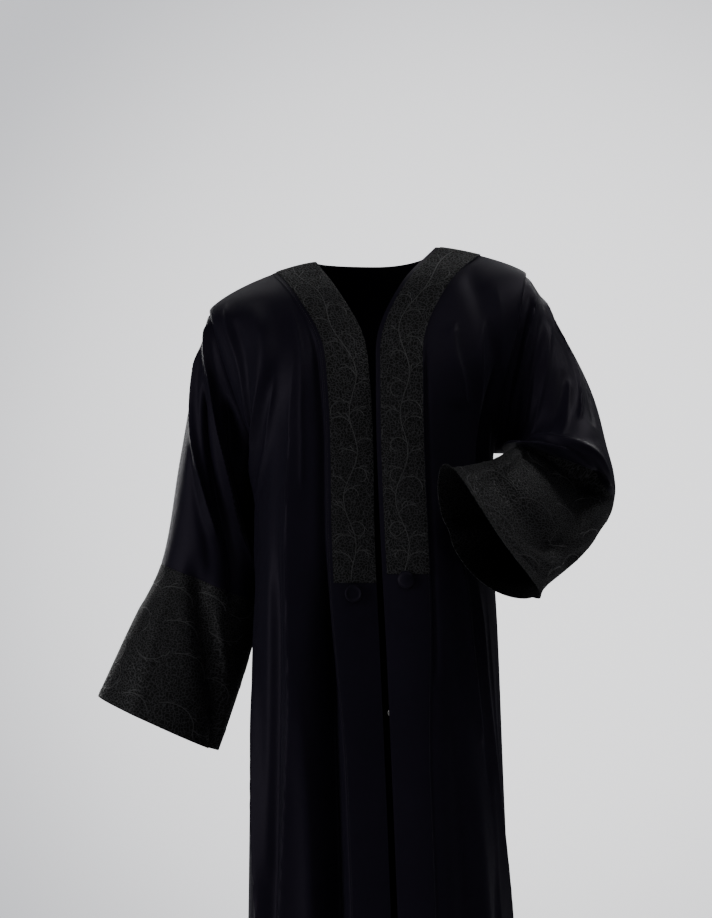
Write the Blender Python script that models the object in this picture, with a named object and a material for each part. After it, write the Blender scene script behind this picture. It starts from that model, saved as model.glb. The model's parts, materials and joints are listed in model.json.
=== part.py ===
"""Abaya cloak in its worn form: open front, plain full-length front bands, lace bands to
mid-chest length, set-in sleeves with deep flared lace cuffs.

Metres, Z up. The garment faces -Y and the wearer's left is +X. The origin lies between the
two high shoulder points, where the wearer's shoulders carry the cloth.
"""
from collections import namedtuple

import bmesh
import bpy
import numpy as np
from mathutils import Matrix, Vector

for item in list(bpy.data.objects):
    bpy.data.objects.remove(item)

# ------------------------------------------------------------------ driving sizes, metres
CLOTH_WALL = 0.0020
TRIM_WALL = 0.0012
SEAM_GAP = 0.0003
UNDERARM = 0.250            # length of the armhole edge, shoulder tip to underarm
HEM = 1.420                 # length of a front from the high shoulder point
FRONT_BAND = 0.060
FRONT_BAND_FOOT = 0.050     # width of the front band below the buttons
LACE_MARGIN = 0.006         # plain strip left beside the lace
LACE_END_RIGHT = 0.428
LACE_END_LEFT = 0.417
BACK_NECK_SHARE = 0.36      # share of the back's half width taken by the neck
SHOULDER_STEPS = 6
NECK_STEPS = 3
PANEL_STEPS = 10            # facets of a front between its band and its side seam
ARMHOLE_STEPS = 10          # facets of half an armhole
SLEEVE_CUFF_SEAM_RIGHT = 0.300
SLEEVE_CUFF_SEAM_LEFT = 0.290
SLEEVE_HEM_RIGHT = 0.495
SLEEVE_HEM_LEFT = 0.485
BAND_TAPER_TOP = 0.430      # where the front band starts to narrow
BAND_TAPER_LENGTH = 0.250
NECK_BLEND = 0.075          # the back's neckline fades into its sections over this length
SIDE_CALM = 0.030           # folds die away this near a side seam
BAND_CALM = 0.012           # and this near a front band
BUTTON_DOWN_RIGHT = 0.4416
BUTTON_DOWN_LEFT = 0.4245
SNAP_DOWN = 0.593
SNAP_SOCKET_ACROSS = 0.0026
SNAP_STUD_ACROSS = 0.0085

# levels of a sleeve's rings, measured down it from the armhole
LEVELS_RIGHT = (0.0, 0.025, 0.055, 0.085, 0.115, 0.145, 0.175, 0.205, 0.235, 0.265, 0.285,
                SLEEVE_CUFF_SEAM_RIGHT, 0.335, 0.370, 0.410, 0.450, SLEEVE_HEM_RIGHT)
LEVELS_LEFT = (0.0, 0.020, 0.045, 0.070, 0.095, 0.120, 0.145, 0.170, 0.195, 0.215, 0.234,
               0.250, 0.262, 0.274, SLEEVE_CUFF_SEAM_LEFT, 0.310, 0.335, 0.370, 0.410, 0.450,
               SLEEVE_HEM_LEFT)

# levels of the body's sections, measured down a front edge
ROWS = tuple(UNDERARM * step / ARMHOLE_STEPS for step in range(ARMHOLE_STEPS + 1)) + (
    0.285, 0.325, 0.370, LACE_END_LEFT, LACE_END_RIGHT, 0.475, 0.540, 0.610, 0.690, 0.790,
    0.900, 1.020, 1.150, 1.280, HEM)

# ------------------------------------------------------------------ tables
# A body section: its open edge, its side seam below the underarm, how square its plan is
# and how far the chest or shoulder blade swells beyond it.
Section = namedtuple("Section", "down edge_x edge_y edge_z side_x side_y square swell")

FRONT_RIGHT = (
    Section(0.000, -0.0780, 0.000, -0.010, None, None, 1.50, 0.000),
    Section(0.065, -0.0470, -0.055, -0.054, None, None, 1.30, 0.008),
    Section(0.130, -0.0165, -0.098, -0.112, None, None, 1.10, 0.014),
    Section(0.190, -0.0080, -0.119, -0.175, None, None, 1.00, 0.017),
    Section(0.250, -0.0045, -0.128, -0.235, None, None, 0.95, 0.017),
    Section(0.345, -0.0035, -0.134, -0.338, -0.1535, 0.004, 0.85, 0.016),
    Section(0.500, 0.0035, -0.138, -0.495, -0.1612, 0.008, 0.85, 0.014),
    Section(0.700, 0.0125, -0.140, -0.697, -0.1650, 0.010, 0.85, 0.012),
    Section(0.950, 0.0215, -0.146, -0.948, -0.169, 0.010, 0.85, 0.010),
    Section(1.200, 0.0280, -0.153, -1.200, -0.180, 0.010, 0.85, 0.008),
    Section(1.420, 0.0340, -0.160, -1.420, -0.194, 0.010, 0.85, 0.006),
)
FRONT_LEFT = (
    Section(0.000, 0.0780, 0.000, 0.010, None, None, 1.50, 0.000),
    Section(0.065, 0.0330, -0.063, -0.040, None, None, 1.30, 0.008),
    Section(0.130, 0.0020, -0.098, -0.106, None, None, 1.10, 0.014),
    Section(0.190, -0.0005, -0.119, -0.173, None, None, 1.00, 0.017),
    Section(0.250, -0.0004, -0.128, -0.235, None, None, 0.95, 0.017),
    Section(0.345, 0.0035, -0.134, -0.338, 0.1515, 0.004, 0.85, 0.016),
    Section(0.500, 0.0115, -0.138, -0.495, 0.1596, 0.008, 0.85, 0.014),
    Section(0.700, 0.0205, -0.140, -0.697, 0.1676, 0.010, 0.85, 0.012),
    Section(0.950, 0.0300, -0.146, -0.948, 0.1790, 0.010, 0.85, 0.010),
    Section(1.200, 0.0370, -0.153, -1.200, 0.190, 0.010, 0.85, 0.008),
    Section(1.420, 0.0430, -0.160, -1.420, 0.206, 0.010, 0.85, 0.006),
)
BACK = (
    Section(0.000, 0.000, 0.052, -0.012, None, None, 1.40, 0.000),
    Section(0.065, 0.000, 0.085, -0.062, None, None, 1.20, 0.006),
    Section(0.130, 0.000, 0.104, -0.122, None, None, 1.05, 0.013),
    Section(0.190, 0.000, 0.113, -0.182, None, None, 1.00, 0.017),
    Section(0.250, 0.000, 0.117, -0.242, None, None, 1.00, 0.018),
    Section(0.345, 0.000, 0.120, -0.338, None, None, 1.00, 0.017),
    Section(0.500, 0.001, 0.124, -0.495, None, None, 0.95, 0.015),
    Section(0.700, 0.002, 0.132, -0.697, None, None, 0.92, 0.012),
    Section(0.950, 0.004, 0.146, -0.948, None, None, 0.90, 0.010),
    Section(1.200, 0.006, 0.160, -1.200, None, None, 0.90, 0.008),
    Section(1.420, 0.008, 0.172, -1.420, None, None, 0.90, 0.006),
)

# A sleeve section: four points of its loop, measured down the sleeve from the armhole.
Ring = namedtuple("Ring", "down outer front inner back")

SLEEVE_RIGHT = (
    Ring(0.000, (-.218, .000, -.073), (-.190, -.058, -.165), (-.158, .000, -.252),
         (-.188, .066, -.165)),
    Ring(0.080, (-.2368, .010, -.155), (-.207, -.048, -.212), (-.158, .042, -.300),
         (-.206, .080, -.215)),
    Ring(0.180, (-.2580, .022, -.268), (-.214, -.032, -.305), (-.153, .058, -.372),
         (-.216, .092, -.310)),
    Ring(0.300, (-.2840, .040, -.405), (-.218, -.012, -.430), (-.151, .070, -.460),
         (-.217, .102, -.432)),
    Ring(0.400, (-.3240, .040, -.486), (-.247, -.018, -.516), (-.174, .060, -.551),
         (-.247, .100, -.515)),
    Ring(0.495, (-.3675, .040, -.580), (-.286, -.024, -.6145), (-.208, .050, -.654),
         (-.286, .098, -.6145)),
)
SLEEVE_LEFT = (
    Ring(0.000, (.197, .000, -.024), (.176, -.058, -.130), (.154, .000, -.260),
         (.176, .066, -.130)),
    Ring(0.070, (.2450, .002, -.103), (.206, -.072, -.168), (.170, -.004, -.260),
         (.214, .075, -.165)),
    Ring(0.150, (.2862, .005, -.188), (.237, -.092, -.208), (.172, -.022, -.260),
         (.250, .082, -.215)),
    Ring(0.210, (.3022, .003, -.252), (.256, -.118, -.238), (.167, -.047, -.256),
         (.272, .082, -.265)),
    Ring(0.250, (.3100, .003, -.300), (.268, -.126, -.264), (.163, -.066, -.2500),
         (.274, .076, -.312)),
    Ring(0.272, (.3114, .002, -.320), (.270, -.112, -.282), (.170, -.071, -.2490),
         (.267, .067, -.336)),
    Ring(0.290, (.3104, .000, -.331), (.263, -.092, -.286), (.181, -.070, -.2570),
         (.260, .058, -.345)),
    Ring(0.335, (.2920, -.033, -.3585), (.2455, -.128, -.3070), (.158, -.102, -.2645),
         (.230, -.004, -.3610)),
    Ring(0.390, (.2672, -.075, -.3872), (.226, -.165, -.334), (.142, -.136, -.270),
         (.200, -.060, -.378)),
    Ring(0.485, (.1932, -.180, -.4392), (.148, -.246, -.370), (.0802, -.205, -.281),
         (.107, -.160, -.396)),
)

# A fold of the body: the levels it runs between, where its middle lies at each end (metres
# round from the open edge, or from the centre back), how wide it is to each side and how
# far it stands out of the panel (below zero for a hollow).
Fold = namedtuple("Fold", "top foot at_top at_foot wide_top wide_foot height")

FOLDS_RIGHT = (
    Fold(0.090, 0.420, 0.118, 0.245, 0.020, 0.016, 0.008),
    Fold(0.100, 1.560, 0.090, 0.190, 0.020, 0.036, 0.012),
    Fold(0.300, 1.560, 0.062, 0.086, 0.016, 0.030, -0.022),
    Fold(0.300, 1.560, 0.140, 0.214, 0.016, 0.028, -0.010),
    Fold(0.480, 1.560, 0.198, 0.226, 0.016, 0.028, 0.010),
)
FOLDS_LEFT = (
    Fold(0.020, 0.250, 0.072, 0.132, 0.022, 0.020, -0.010),
    Fold(0.160, 0.380, 0.140, 0.176, 0.020, 0.022, -0.012),
    Fold(0.300, 1.560, 0.096, 0.150, 0.016, 0.026, 0.007),
    Fold(0.330, 1.560, 0.114, 0.176, 0.014, 0.028, -0.010),
    Fold(0.300, 1.560, 0.134, 0.216, 0.016, 0.030, 0.012),
    Fold(0.480, 1.560, 0.190, 0.246, 0.018, 0.030, -0.010),
)
FOLDS_BACK = (
    Fold(0.100, 1.560, 0.026, 0.030, 0.026, 0.040, 0.011),
    Fold(0.200, 1.560, 0.070, 0.092, 0.022, 0.034, -0.015),
    Fold(0.120, 1.560, 0.108, 0.146, 0.020, 0.034, 0.013),
    Fold(0.320, 1.560, 0.150, 0.204, 0.020, 0.032, -0.013),
    Fold(0.140, 1.560, -0.038, -0.048, 0.024, 0.038, -0.013),
    Fold(0.100, 1.560, -0.080, -0.104, 0.022, 0.034, 0.014),
    Fold(0.260, 1.560, -0.120, -0.158, 0.020, 0.032, -0.013),
    Fold(0.380, 1.560, -0.156, -0.212, 0.018, 0.032, 0.010),
)

# A fold of a sleeve: the levels it runs between, and its middle and half width as turns
# round the loop in degrees (0 outer, 90 front, 180 inner, 270 back).
Crease = namedtuple("Crease", "top foot at_top at_foot wide height")

CREASES_RIGHT = (
    Crease(0.040, 0.320, 70, 124, 32, 0.008),
    Crease(0.070, 0.290, 24, 76, 30, 0.006),
    Crease(0.060, 0.320, 112, 158, 32, -0.013),
    Crease(0.310, 0.560, 84, 190, 30, -0.010),
    Crease(0.060, 0.310, 290, 236, 34, 0.009),
    Crease(0.060, 0.310, 330, 286, 30, -0.007),
)
CREASES_LEFT = (
    Crease(0.005, 0.200, 96, 126, 30, -0.010),
    Crease(0.010, 0.240, 62, 108, 30, 0.009),
    Crease(0.050, 0.240, 30, 66, 28, -0.006),
    Crease(0.060, 0.270, 2, 34, 30, 0.005),
    Crease(0.040, 0.260, 306, 262, 34, 0.009),
    Crease(0.060, 0.260, 340, 300, 30, -0.006),
    Crease(0.310, 0.480, 104, 86, 30, -0.010),
)

# A turned profile: radius and height of each point of half a button or snap.
Turning = namedtuple("Turning", "radius height")

DISHED_BUTTON = (
    Turning(0.0060, 0.0000), Turning(0.0100, 0.0010), Turning(0.0110, 0.0026),
    Turning(0.0098, 0.0042), Turning(0.0080, 0.0040), Turning(0.0040, 0.0030),
)
DOMED_BUTTON = (
    Turning(0.0060, 0.0000), Turning(0.0100, 0.0008), Turning(0.0110, 0.0022),
    Turning(0.0094, 0.0040), Turning(0.0060, 0.0050), Turning(0.0025, 0.0054),
)
SNAP_SOCKET = (
    Turning(0.0048, 0.0000), Turning(0.0048, 0.0008), Turning(0.0030, 0.0016),
    Turning(0.0018, 0.0016), Turning(0.0014, 0.0009),
)
SNAP_STUD = (
    Turning(0.0048, 0.0000), Turning(0.0048, 0.0008), Turning(0.0024, 0.0011),
    Turning(0.0013, 0.0014), Turning(0.0011, 0.0024),
)


# ------------------------------------------------------------------ curves
def through(keys, values, places):
    """Values on the smooth curve that passes through the given values at the keys."""
    keys = np.asarray(keys, float)
    values = np.asarray(values, float).reshape(len(keys), -1)
    places = np.atleast_1d(np.asarray(places, float))
    slopes = np.gradient(values, keys, axis=0)
    span = np.clip(np.searchsorted(keys, places, side="right") - 1, 0, len(keys) - 2)
    step = (keys[span + 1] - keys[span])[:, None]
    t = (places - keys[span])[:, None] / step
    return ((2 * t**3 - 3 * t**2 + 1) * values[span]
            + (t**3 - 2 * t**2 + t) * step * slopes[span]
            + (3 * t**2 - 2 * t**3) * values[span + 1]
            + (t**3 - t**2) * step * slopes[span + 1])


def ease(value):
    """A smooth step from 0 to 1."""
    value = np.clip(value, 0.0, 1.0)
    return value * value * (3.0 - 2.0 * value)


def unit(vectors):
    size = np.linalg.norm(vectors, axis=-1, keepdims=True)
    return vectors / np.maximum(size, 1e-12)


def distances(curve):
    """How far along a polyline each of its points lies."""
    steps = np.linalg.norm(np.diff(curve, axis=0), axis=1)
    return np.concatenate([[0.0], np.cumsum(steps)])


def along(curve, places):
    """Points of a polyline at the given distances from its start."""
    marks = distances(curve)
    return np.stack([np.interp(places, marks, curve[:, axis]) for axis in range(3)], axis=1)


def loop(ring, turns):
    """Points of a sleeve section at the given turns, in radians."""
    outer, front, inner, back = (np.asarray(corner, float) for corner in ring)
    turns = np.asarray(turns, float)[..., None]
    middle = (outer + front + inner + back) / 4.0
    return (middle + (outer - inner) / 2.0 * np.cos(turns)
            + (front - back) / 2.0 * np.sin(turns)
            + (outer + inner - front - back) / 4.0 * np.cos(2.0 * turns))


def into_loop(ring, turns):
    """Upright directions from an armhole's edge towards its own middle."""
    points = loop(ring, turns)
    run = unit(loop(ring, np.asarray(turns) + 0.01) - loop(ring, np.asarray(turns) - 0.01))
    inward = np.mean([np.asarray(corner, float) for corner in ring], axis=0) - points
    inward -= run * np.sum(inward * run, axis=-1, keepdims=True)
    inward[..., 0] = 0.0
    return unit(inward)


# ------------------------------------------------------------------ body panels
def side_line(front, sleeve, sign):
    """Outer edge of a front (sign 1) or a back half (sign -1): armhole, then side seam."""
    rows = np.asarray(ROWS)
    armhole = rows <= UNDERARM + 1e-9
    line = np.zeros((len(rows), 3))
    line[armhole] = loop(sleeve[0][1:], sign * np.pi * rows[armhole] / UNDERARM)
    seam = [row for row in front if row.side_x is not None]
    keys = [UNDERARM] + [row.down for row in seam]
    values = [sleeve[0].inner] + [(row.side_x, row.side_y, row.edge_z) for row in seam]
    line[~armhole] = through(keys, values, rows[~armhole])
    return line


def hoop(edge, side, square, swell, outward):
    """A finely divided section from an open edge round to the side seam."""
    share = np.linspace(0.0, 1.0, 65)
    out = np.sin(share * np.pi / 2.0) ** square
    back = 1.0 - np.cos(share * np.pi / 2.0) ** square
    points = edge + (side - edge) * np.stack([out, back, back], axis=1)
    points[:, 1] += outward * swell * np.sin(np.pi * share)
    return points


def shoulder_line(front, sleeve):
    """The shoulder seam as the few straight facets that front and back share."""
    high = np.array((front[0].edge_x, front[0].edge_y, front[0].edge_z))
    fine = hoop(high, np.array(sleeve[0].outer), front[0].square, 0.0, -1.0)
    return along(fine, np.linspace(0.0, distances(fine)[-1], SHOULDER_STEPS + 1))


def section_values(table):
    """Edge point, squareness and swell of each row of a body table, at ROWS."""
    keys = [row.down for row in table]
    edges = through(keys, [(row.edge_x, row.edge_y, row.edge_z) for row in table], ROWS)
    forms = through(keys, [(row.square, row.swell) for row in table], ROWS)
    return edges, forms


def fold_height(folds, down, across):
    """How far the folds lift the cloth at one level."""
    height = np.zeros_like(across)
    for fold in folds:
        share = (down - fold.top) / (fold.foot - fold.top)
        if not 0.0 < share < 1.0:
            continue
        middle = fold.at_top + (fold.at_foot - fold.at_top) * share
        wide = fold.wide_top + (fold.wide_foot - fold.wide_top) * share
        near = np.clip(np.abs(across - middle) / wide, 0.0, 1.5)
        strength = ease((down - fold.top) / 0.22) * ease((fold.foot - down) / 0.12)
        height += fold.height * strength * np.exp(-1.6 * near**2) * (near < 1.5)
    return height


def band_width(down):
    """The front band keeps its width beside the lace and narrows below the buttons."""
    return FRONT_BAND + (FRONT_BAND_FOOT - FRONT_BAND) * ease(
        (down - BAND_TAPER_TOP) / BAND_TAPER_LENGTH)


def front_columns(down, full):
    """Distances from the front edge of one row's points, the band's first."""
    width = band_width(down)
    band = (0.0, LACE_MARGIN, width / 2.0, width - LACE_MARGIN)
    return np.concatenate([band, np.linspace(width, full, PANEL_STEPS + 1)])


def front_panel(front, sleeve, folds):
    """Grid of a front's outer face, its band columns first."""
    edges, forms = section_values(front)
    sides = side_line(front, sleeve, 1.0)
    grid = []
    rounds = []
    for down, edge, side, (square, swell) in zip(ROWS, edges, sides, forms):
        fine = hoop(edge, side, square, swell, -1.0)
        places = front_columns(down, distances(fine)[-1])
        grid.append(along(fine, places))
        rounds.append(places)
    shoulder = shoulder_line(front, sleeve)
    rounds[0] = front_columns(0.0, distances(shoulder)[-1])
    grid[0] = along(shoulder, rounds[0])
    grid = np.array(grid)
    lifts = np.array([
        fold_height(folds, down, places) * ease((places - band_width(down)) / BAND_CALM)
        * ease((places[-1] - places) / SIDE_CALM)
        for down, places in zip(ROWS, rounds)])
    facing = grid_normals(grid, -1.0 if front[0].edge_x > 0.0 else 1.0)
    return grid + facing * lifts[..., None]


def back_half(front, sleeve):
    """Rows of one half of the back, from its centre to its side."""
    edges, forms = section_values(BACK)
    sides = side_line(front, sleeve, -1.0)
    shoulder = shoulder_line(front, sleeve)
    arc = np.linspace(0.0, np.pi / 2.0, 33)
    centre = edges[0]
    reach = shoulder[0] - centre
    neck = centre + reach * np.stack([np.sin(arc), 1.0 - np.cos(arc), 1.0 - np.cos(arc)], axis=1)
    neck = along(neck, np.linspace(0.0, distances(neck)[-1], NECK_STEPS + 1))
    top = np.concatenate([neck, shoulder[1:]])
    steps = NECK_STEPS + SHOULDER_STEPS
    shares = np.concatenate([
        np.linspace(0.0, BACK_NECK_SHARE, NECK_STEPS + 1),
        np.linspace(BACK_NECK_SHARE, 1.0, SHOULDER_STEPS + 1)[1:]])
    even = np.linspace(0.0, 1.0, steps + 1)
    rows = []
    rounds = []
    for down, edge, side, (square, swell) in zip(ROWS, edges, sides, forms):
        fine = hoop(edge, side, square, swell, 1.0)
        level = ease(down / UNDERARM)
        places = (shares * (1.0 - level) + even * level) * distances(fine)[-1]
        points = along(fine, places)
        high = 1.0 - ease(down / NECK_BLEND)
        rows.append(top * high + points * (1.0 - high))
        rounds.append(places)
    return np.array(rows), np.array(rounds)


def back_panel():
    """Grid of the back's outer face, from the right side seam to the left one."""
    right, right_rounds = back_half(FRONT_RIGHT, SLEEVE_RIGHT)
    left, left_rounds = back_half(FRONT_LEFT, SLEEVE_LEFT)
    grid = np.concatenate([right[:, :0:-1], left], axis=1)
    across = np.concatenate([-right_rounds[:, :0:-1], left_rounds], axis=1)
    lifts = []
    for down, places in zip(ROWS, across):
        ends = ease((places - places[0]) / SIDE_CALM) * ease((places[-1] - places) / SIDE_CALM)
        lifts.append(fold_height(FOLDS_BACK, down, places) * ends)
    return grid + grid_normals(grid, 1.0) * np.array(lifts)[..., None]


def grid_normals(grid, sign):
    """Unit normals of a grid, turned to the outside of the garment by sign."""
    down = np.gradient(grid, axis=0)
    over = np.gradient(grid, axis=1)
    return unit(np.cross(over, down)) * sign


# ------------------------------------------------------------------ sleeves
def crease_height(creases, down, turns):
    """How far the creases lift a sleeve's ring at each turn."""
    height = np.zeros_like(turns)
    for crease in creases:
        share = (down - crease.top) / (crease.foot - crease.top)
        if not 0.0 < share < 1.0:
            continue
        middle = crease.at_top + (crease.at_foot - crease.at_top) * share
        off = (np.degrees(turns) - middle + 180.0) % 360.0 - 180.0
        strength = ease(share / 0.25) * ease((1.0 - share) / 0.25)
        height += crease.height * strength * np.exp(-1.6 * (off / crease.wide) ** 2)
    return height


def tube_normals(grid):
    """Unit normals of a ring grid, away from the middle of each ring."""
    down = np.gradient(grid, axis=0)
    over = np.roll(grid, -1, axis=1) - np.roll(grid, 1, axis=1)
    normals = unit(np.cross(over, down))
    outward = grid - grid.mean(axis=1, keepdims=True)
    if np.sum(normals * outward) < 0.0:
        normals = -normals
    return normals


def sleeve_grid(sleeve, creases, levels):
    """Rings of a whole sleeve's outer face."""
    turns = np.pi * np.arange(2 * ARMHOLE_STEPS) / ARMHOLE_STEPS
    corners = [sum((tuple(corner) for corner in ring[1:]), ()) for ring in sleeve]
    values = through([ring.down for ring in sleeve], corners, levels).reshape(-1, 4, 3)
    grid = np.array([loop(ring, turns) for ring in values])
    lifts = np.array([crease_height(creases, down, turns) for down in levels])
    return grid + tube_normals(grid) * lifts[..., None]


# ------------------------------------------------------------------ solids
def colour(name, base, roughness, metallic=0.0):
    made = bpy.data.materials.new(name)
    made.use_nodes = True
    shader = made.node_tree.nodes["Principled BSDF"]
    shader.inputs["Base Color"].default_value = (*base, 1.0)
    shader.inputs["Roughness"].default_value = roughness
    shader.inputs["Metallic"].default_value = metallic
    made.diffuse_color = (*base, 1.0)
    return made


def solid(name, points, faces, material):
    """One closed solid in its own object, its faces cut into triangles."""
    mesh = bpy.data.meshes.new(name)
    made = bpy.data.objects.new(name, mesh)
    bpy.context.scene.collection.objects.link(made)
    work = bmesh.new()
    corners = [work.verts.new(point) for point in points]
    for face in faces:
        work.faces.new([corners[index] for index in face])
    bmesh.ops.triangulate(work, faces=work.faces[:])
    bmesh.ops.recalc_face_normals(work, faces=work.faces[:])
    work.to_mesh(mesh)
    work.free()
    mesh.materials.append(material)
    return made


def sheet(name, outer, inner, material, closed=False):
    """A wall between two matching grids; closed joins the last column to the first."""
    rows, columns = outer.shape[:2]
    points = np.concatenate([outer.reshape(-1, 3), inner.reshape(-1, 3)])
    under = rows * columns
    spans = columns if closed else columns - 1
    faces = []
    for row in range(rows - 1):
        for column in range(spans):
            a = row * columns + column
            b = row * columns + (column + 1) % columns
            c = b + columns
            d = a + columns
            faces.append((a, b, c, d))
            faces.append((under + d, under + c, under + b, under + a))
    for column in range(spans):
        a = column
        b = (column + 1) % columns
        faces.append((a, under + a, under + b, b))
        a += (rows - 1) * columns
        b += (rows - 1) * columns
        faces.append((b, under + b, under + a, a))
    if not closed:
        for row in range(rows - 1):
            a = row * columns
            d = a + columns
            faces.append((a, d, under + d, under + a))
            a += columns - 1
            d += columns - 1
            faces.append((d, a, under + a, under + d))
    return solid(name, points, faces, material)


def drawn_in(grid, top=False, first=False, last=False):
    """Half a seam gap taken off the sewn edges of a grid, as moves for its points."""
    moves = np.zeros_like(grid)
    if top:
        moves[0] += unit(grid[1] - grid[0]) * SEAM_GAP / 2.0
    if first:
        moves[:, 0] += unit(grid[:, 1] - grid[:, 0]) * SEAM_GAP / 2.0
    if last:
        moves[:, -1] += unit(grid[:, -2] - grid[:, -1]) * SEAM_GAP / 2.0
    return moves


def turned(name, profile, centre, facing, material, sides=20):
    """A round solid turned from a profile, standing on centre along facing."""
    facing = Vector(facing).normalized()
    place = Matrix.Translation(Vector(centre)) @ facing.to_track_quat("Z", "Y").to_matrix().to_4x4()
    points = []
    for row in profile:
        for side in range(sides):
            angle = 2.0 * np.pi * side / sides
            local = Vector((row.radius * np.cos(angle), row.radius * np.sin(angle), row.height))
            points.append(tuple(place @ local))
    faces = []
    for ring in range(len(profile) - 1):
        for side in range(sides):
            a = ring * sides + side
            b = ring * sides + (side + 1) % sides
            faces.append((a, b, b + sides, a + sides))
    faces.append(tuple(range(sides)))
    faces.append(tuple(range((len(profile) - 1) * sides, len(profile) * sides)))
    return solid(name, points, faces, material)


# ------------------------------------------------------------------ build
crepe = colour("black_crepe", (0.016, 0.015, 0.021), 0.52)
lace = colour("black_lace", (0.024, 0.024, 0.025), 0.68)
covered = colour("covered_button", (0.018, 0.017, 0.022), 0.42)
metal = colour("snap_metal", (0.62, 0.61, 0.60), 0.28, 1.0)

right = front_panel(FRONT_RIGHT, SLEEVE_RIGHT, FOLDS_RIGHT)
left = front_panel(FRONT_LEFT, SLEEVE_LEFT, FOLDS_LEFT)
back = back_panel()
right_out = grid_normals(right, 1.0)
left_out = grid_normals(left, -1.0)
back_out = grid_normals(back, 1.0)

# where panels meet they share one direction through the wall, so the walls are mitred
holes = ARMHOLE_STEPS + 1
turns = np.pi * np.arange(holes) / ARMHOLE_STEPS
for panel_out, end, sleeve, column in (
        (right_out, 0, SLEEVE_RIGHT, -1), (left_out, -1, SLEEVE_LEFT, -1)):
    seam = unit(panel_out[holes:, column] + back_out[holes:, end])
    panel_out[holes:, column] = seam
    back_out[holes:, end] = seam
    panel_out[:holes, column] = -into_loop(sleeve[0][1:], turns)
    back_out[:holes, end] = -into_loop(sleeve[0][1:], -turns)

half = NECK_STEPS + SHOULDER_STEPS
for panel, panel_out, sign in ((right, right_out, -1), (left, left_out, 1)):
    columns = [half + sign * (NECK_STEPS + step) for step in range(SHOULDER_STEPS + 1)]
    marks = distances(back[0, columns])
    joint = np.array([
        unit(back_out[0, column] + along_value)
        for column, along_value in zip(columns, np.stack([
            np.interp(marks, distances(panel[0]), panel_out[0][:, axis])
            for axis in range(3)], axis=1))])
    joint[-1] = back_out[0, columns[-1]]
    back_out[0, columns] = joint
    panel_out[0] = unit(np.stack([
        np.interp(distances(panel[0]), marks, joint[:, axis]) for axis in range(3)], axis=1))

for name, grid, out, edges in (
        ("front_panel_right", right, right_out, dict(top=True, last=True)),
        ("front_panel_left", left, left_out, dict(top=True, last=True)),
        ("back_panel", back, back_out, dict(first=True, last=True))):
    moves = drawn_in(grid, **edges)
    if name == "back_panel":
        shoulders = np.r_[0:SHOULDER_STEPS + 1, half + NECK_STEPS:2 * half + 1]
        moves[0, shoulders] += unit(grid[1, shoulders] - grid[0, shoulders]) * SEAM_GAP / 2.0
    outer = grid + moves
    sheet(name, outer, outer - out * CLOTH_WALL, crepe)

# bands and lace lie on the fronts
for side, grid, out, lace_end, lace_columns in (
        ("right", right, right_out, LACE_END_RIGHT, slice(0, 4)),
        ("left", left, left_out, LACE_END_LEFT, slice(1, 5))):
    strip = (grid + drawn_in(grid, top=True))[:, :5]
    normal = out[:, :5]
    low = strip + normal * SEAM_GAP
    high = low + normal * TRIM_WALL
    sheet("front_band_" + side, high, low, crepe)
    rows = slice(0, ROWS.index(lace_end) + 1)
    low = (high + normal * SEAM_GAP)[rows, lace_columns]
    high = low + normal[rows, lace_columns] * TRIM_WALL
    sheet("lace_band_" + side, high, low, lace)

# sleeves and their cuffs
for side, sleeve, creases, levels, seam, outward in (
        ("right", SLEEVE_RIGHT, CREASES_RIGHT, LEVELS_RIGHT, SLEEVE_CUFF_SEAM_RIGHT, -1.0),
        ("left", SLEEVE_LEFT, CREASES_LEFT, LEVELS_LEFT, SLEEVE_CUFF_SEAM_LEFT, 1.0)):
    grid = sleeve_grid(sleeve, creases, levels)
    out = tube_normals(grid)
    around = np.pi * np.arange(2 * ARMHOLE_STEPS) / ARMHOLE_STEPS
    out[0] = -into_loop(sleeve[0][1:], around)
    split = levels.index(seam)
    upper = grid[:split + 1].copy()
    upper[0, :, 0] += outward * SEAM_GAP
    upper[-1] -= unit(grid[split] - grid[split - 1]) * SEAM_GAP / 2.0
    sheet("sleeve_" + side, upper, upper - out[:split + 1] * CLOTH_WALL, crepe, closed=True)
    lower = grid[split:].copy()
    lower[0] += unit(grid[split + 1] - grid[split]) * SEAM_GAP / 2.0
    sheet("lace_cuff_" + side, lower, lower - out[split:] * CLOTH_WALL, lace, closed=True)


def on_front(grid, out, down, across, column):
    """A point of a front and the way it faces there."""
    row = np.interp(down, ROWS, range(len(ROWS)))
    low = min(int(row), len(ROWS) - 2)
    share = row - low
    line = grid[low] * (1.0 - share) + grid[low + 1] * share
    facing = out[low, column] * (1.0 - share) + out[low + 1, column] * share
    place = along(line, [across])[0]
    return place, unit(facing)


place, facing = on_front(right, right_out, BUTTON_DOWN_RIGHT, FRONT_BAND / 2.0, 2)
raised = 3.0 * SEAM_GAP + 2.0 * TRIM_WALL
turned("button_right", DISHED_BUTTON, place + facing * raised, facing, covered)
place, facing = on_front(left, left_out, BUTTON_DOWN_LEFT, FRONT_BAND / 2.0, 2)
turned("button_left", DOMED_BUTTON, place + facing * raised, facing, covered)

behind = CLOTH_WALL + 2.0 * SEAM_GAP
place, facing = on_front(left, left_out, SNAP_DOWN, SNAP_SOCKET_ACROSS, 1)
turned("snap_socket", SNAP_SOCKET, place - facing * behind, -facing, metal, 16)
place, facing = on_front(right, right_out, SNAP_DOWN, SNAP_STUD_ACROSS, 1)
turned("snap_stud", SNAP_STUD, place - facing * behind, -facing, metal, 16)
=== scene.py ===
"""Abaya cloak, worn pose: the cloth, lace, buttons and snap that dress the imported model."""

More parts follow.
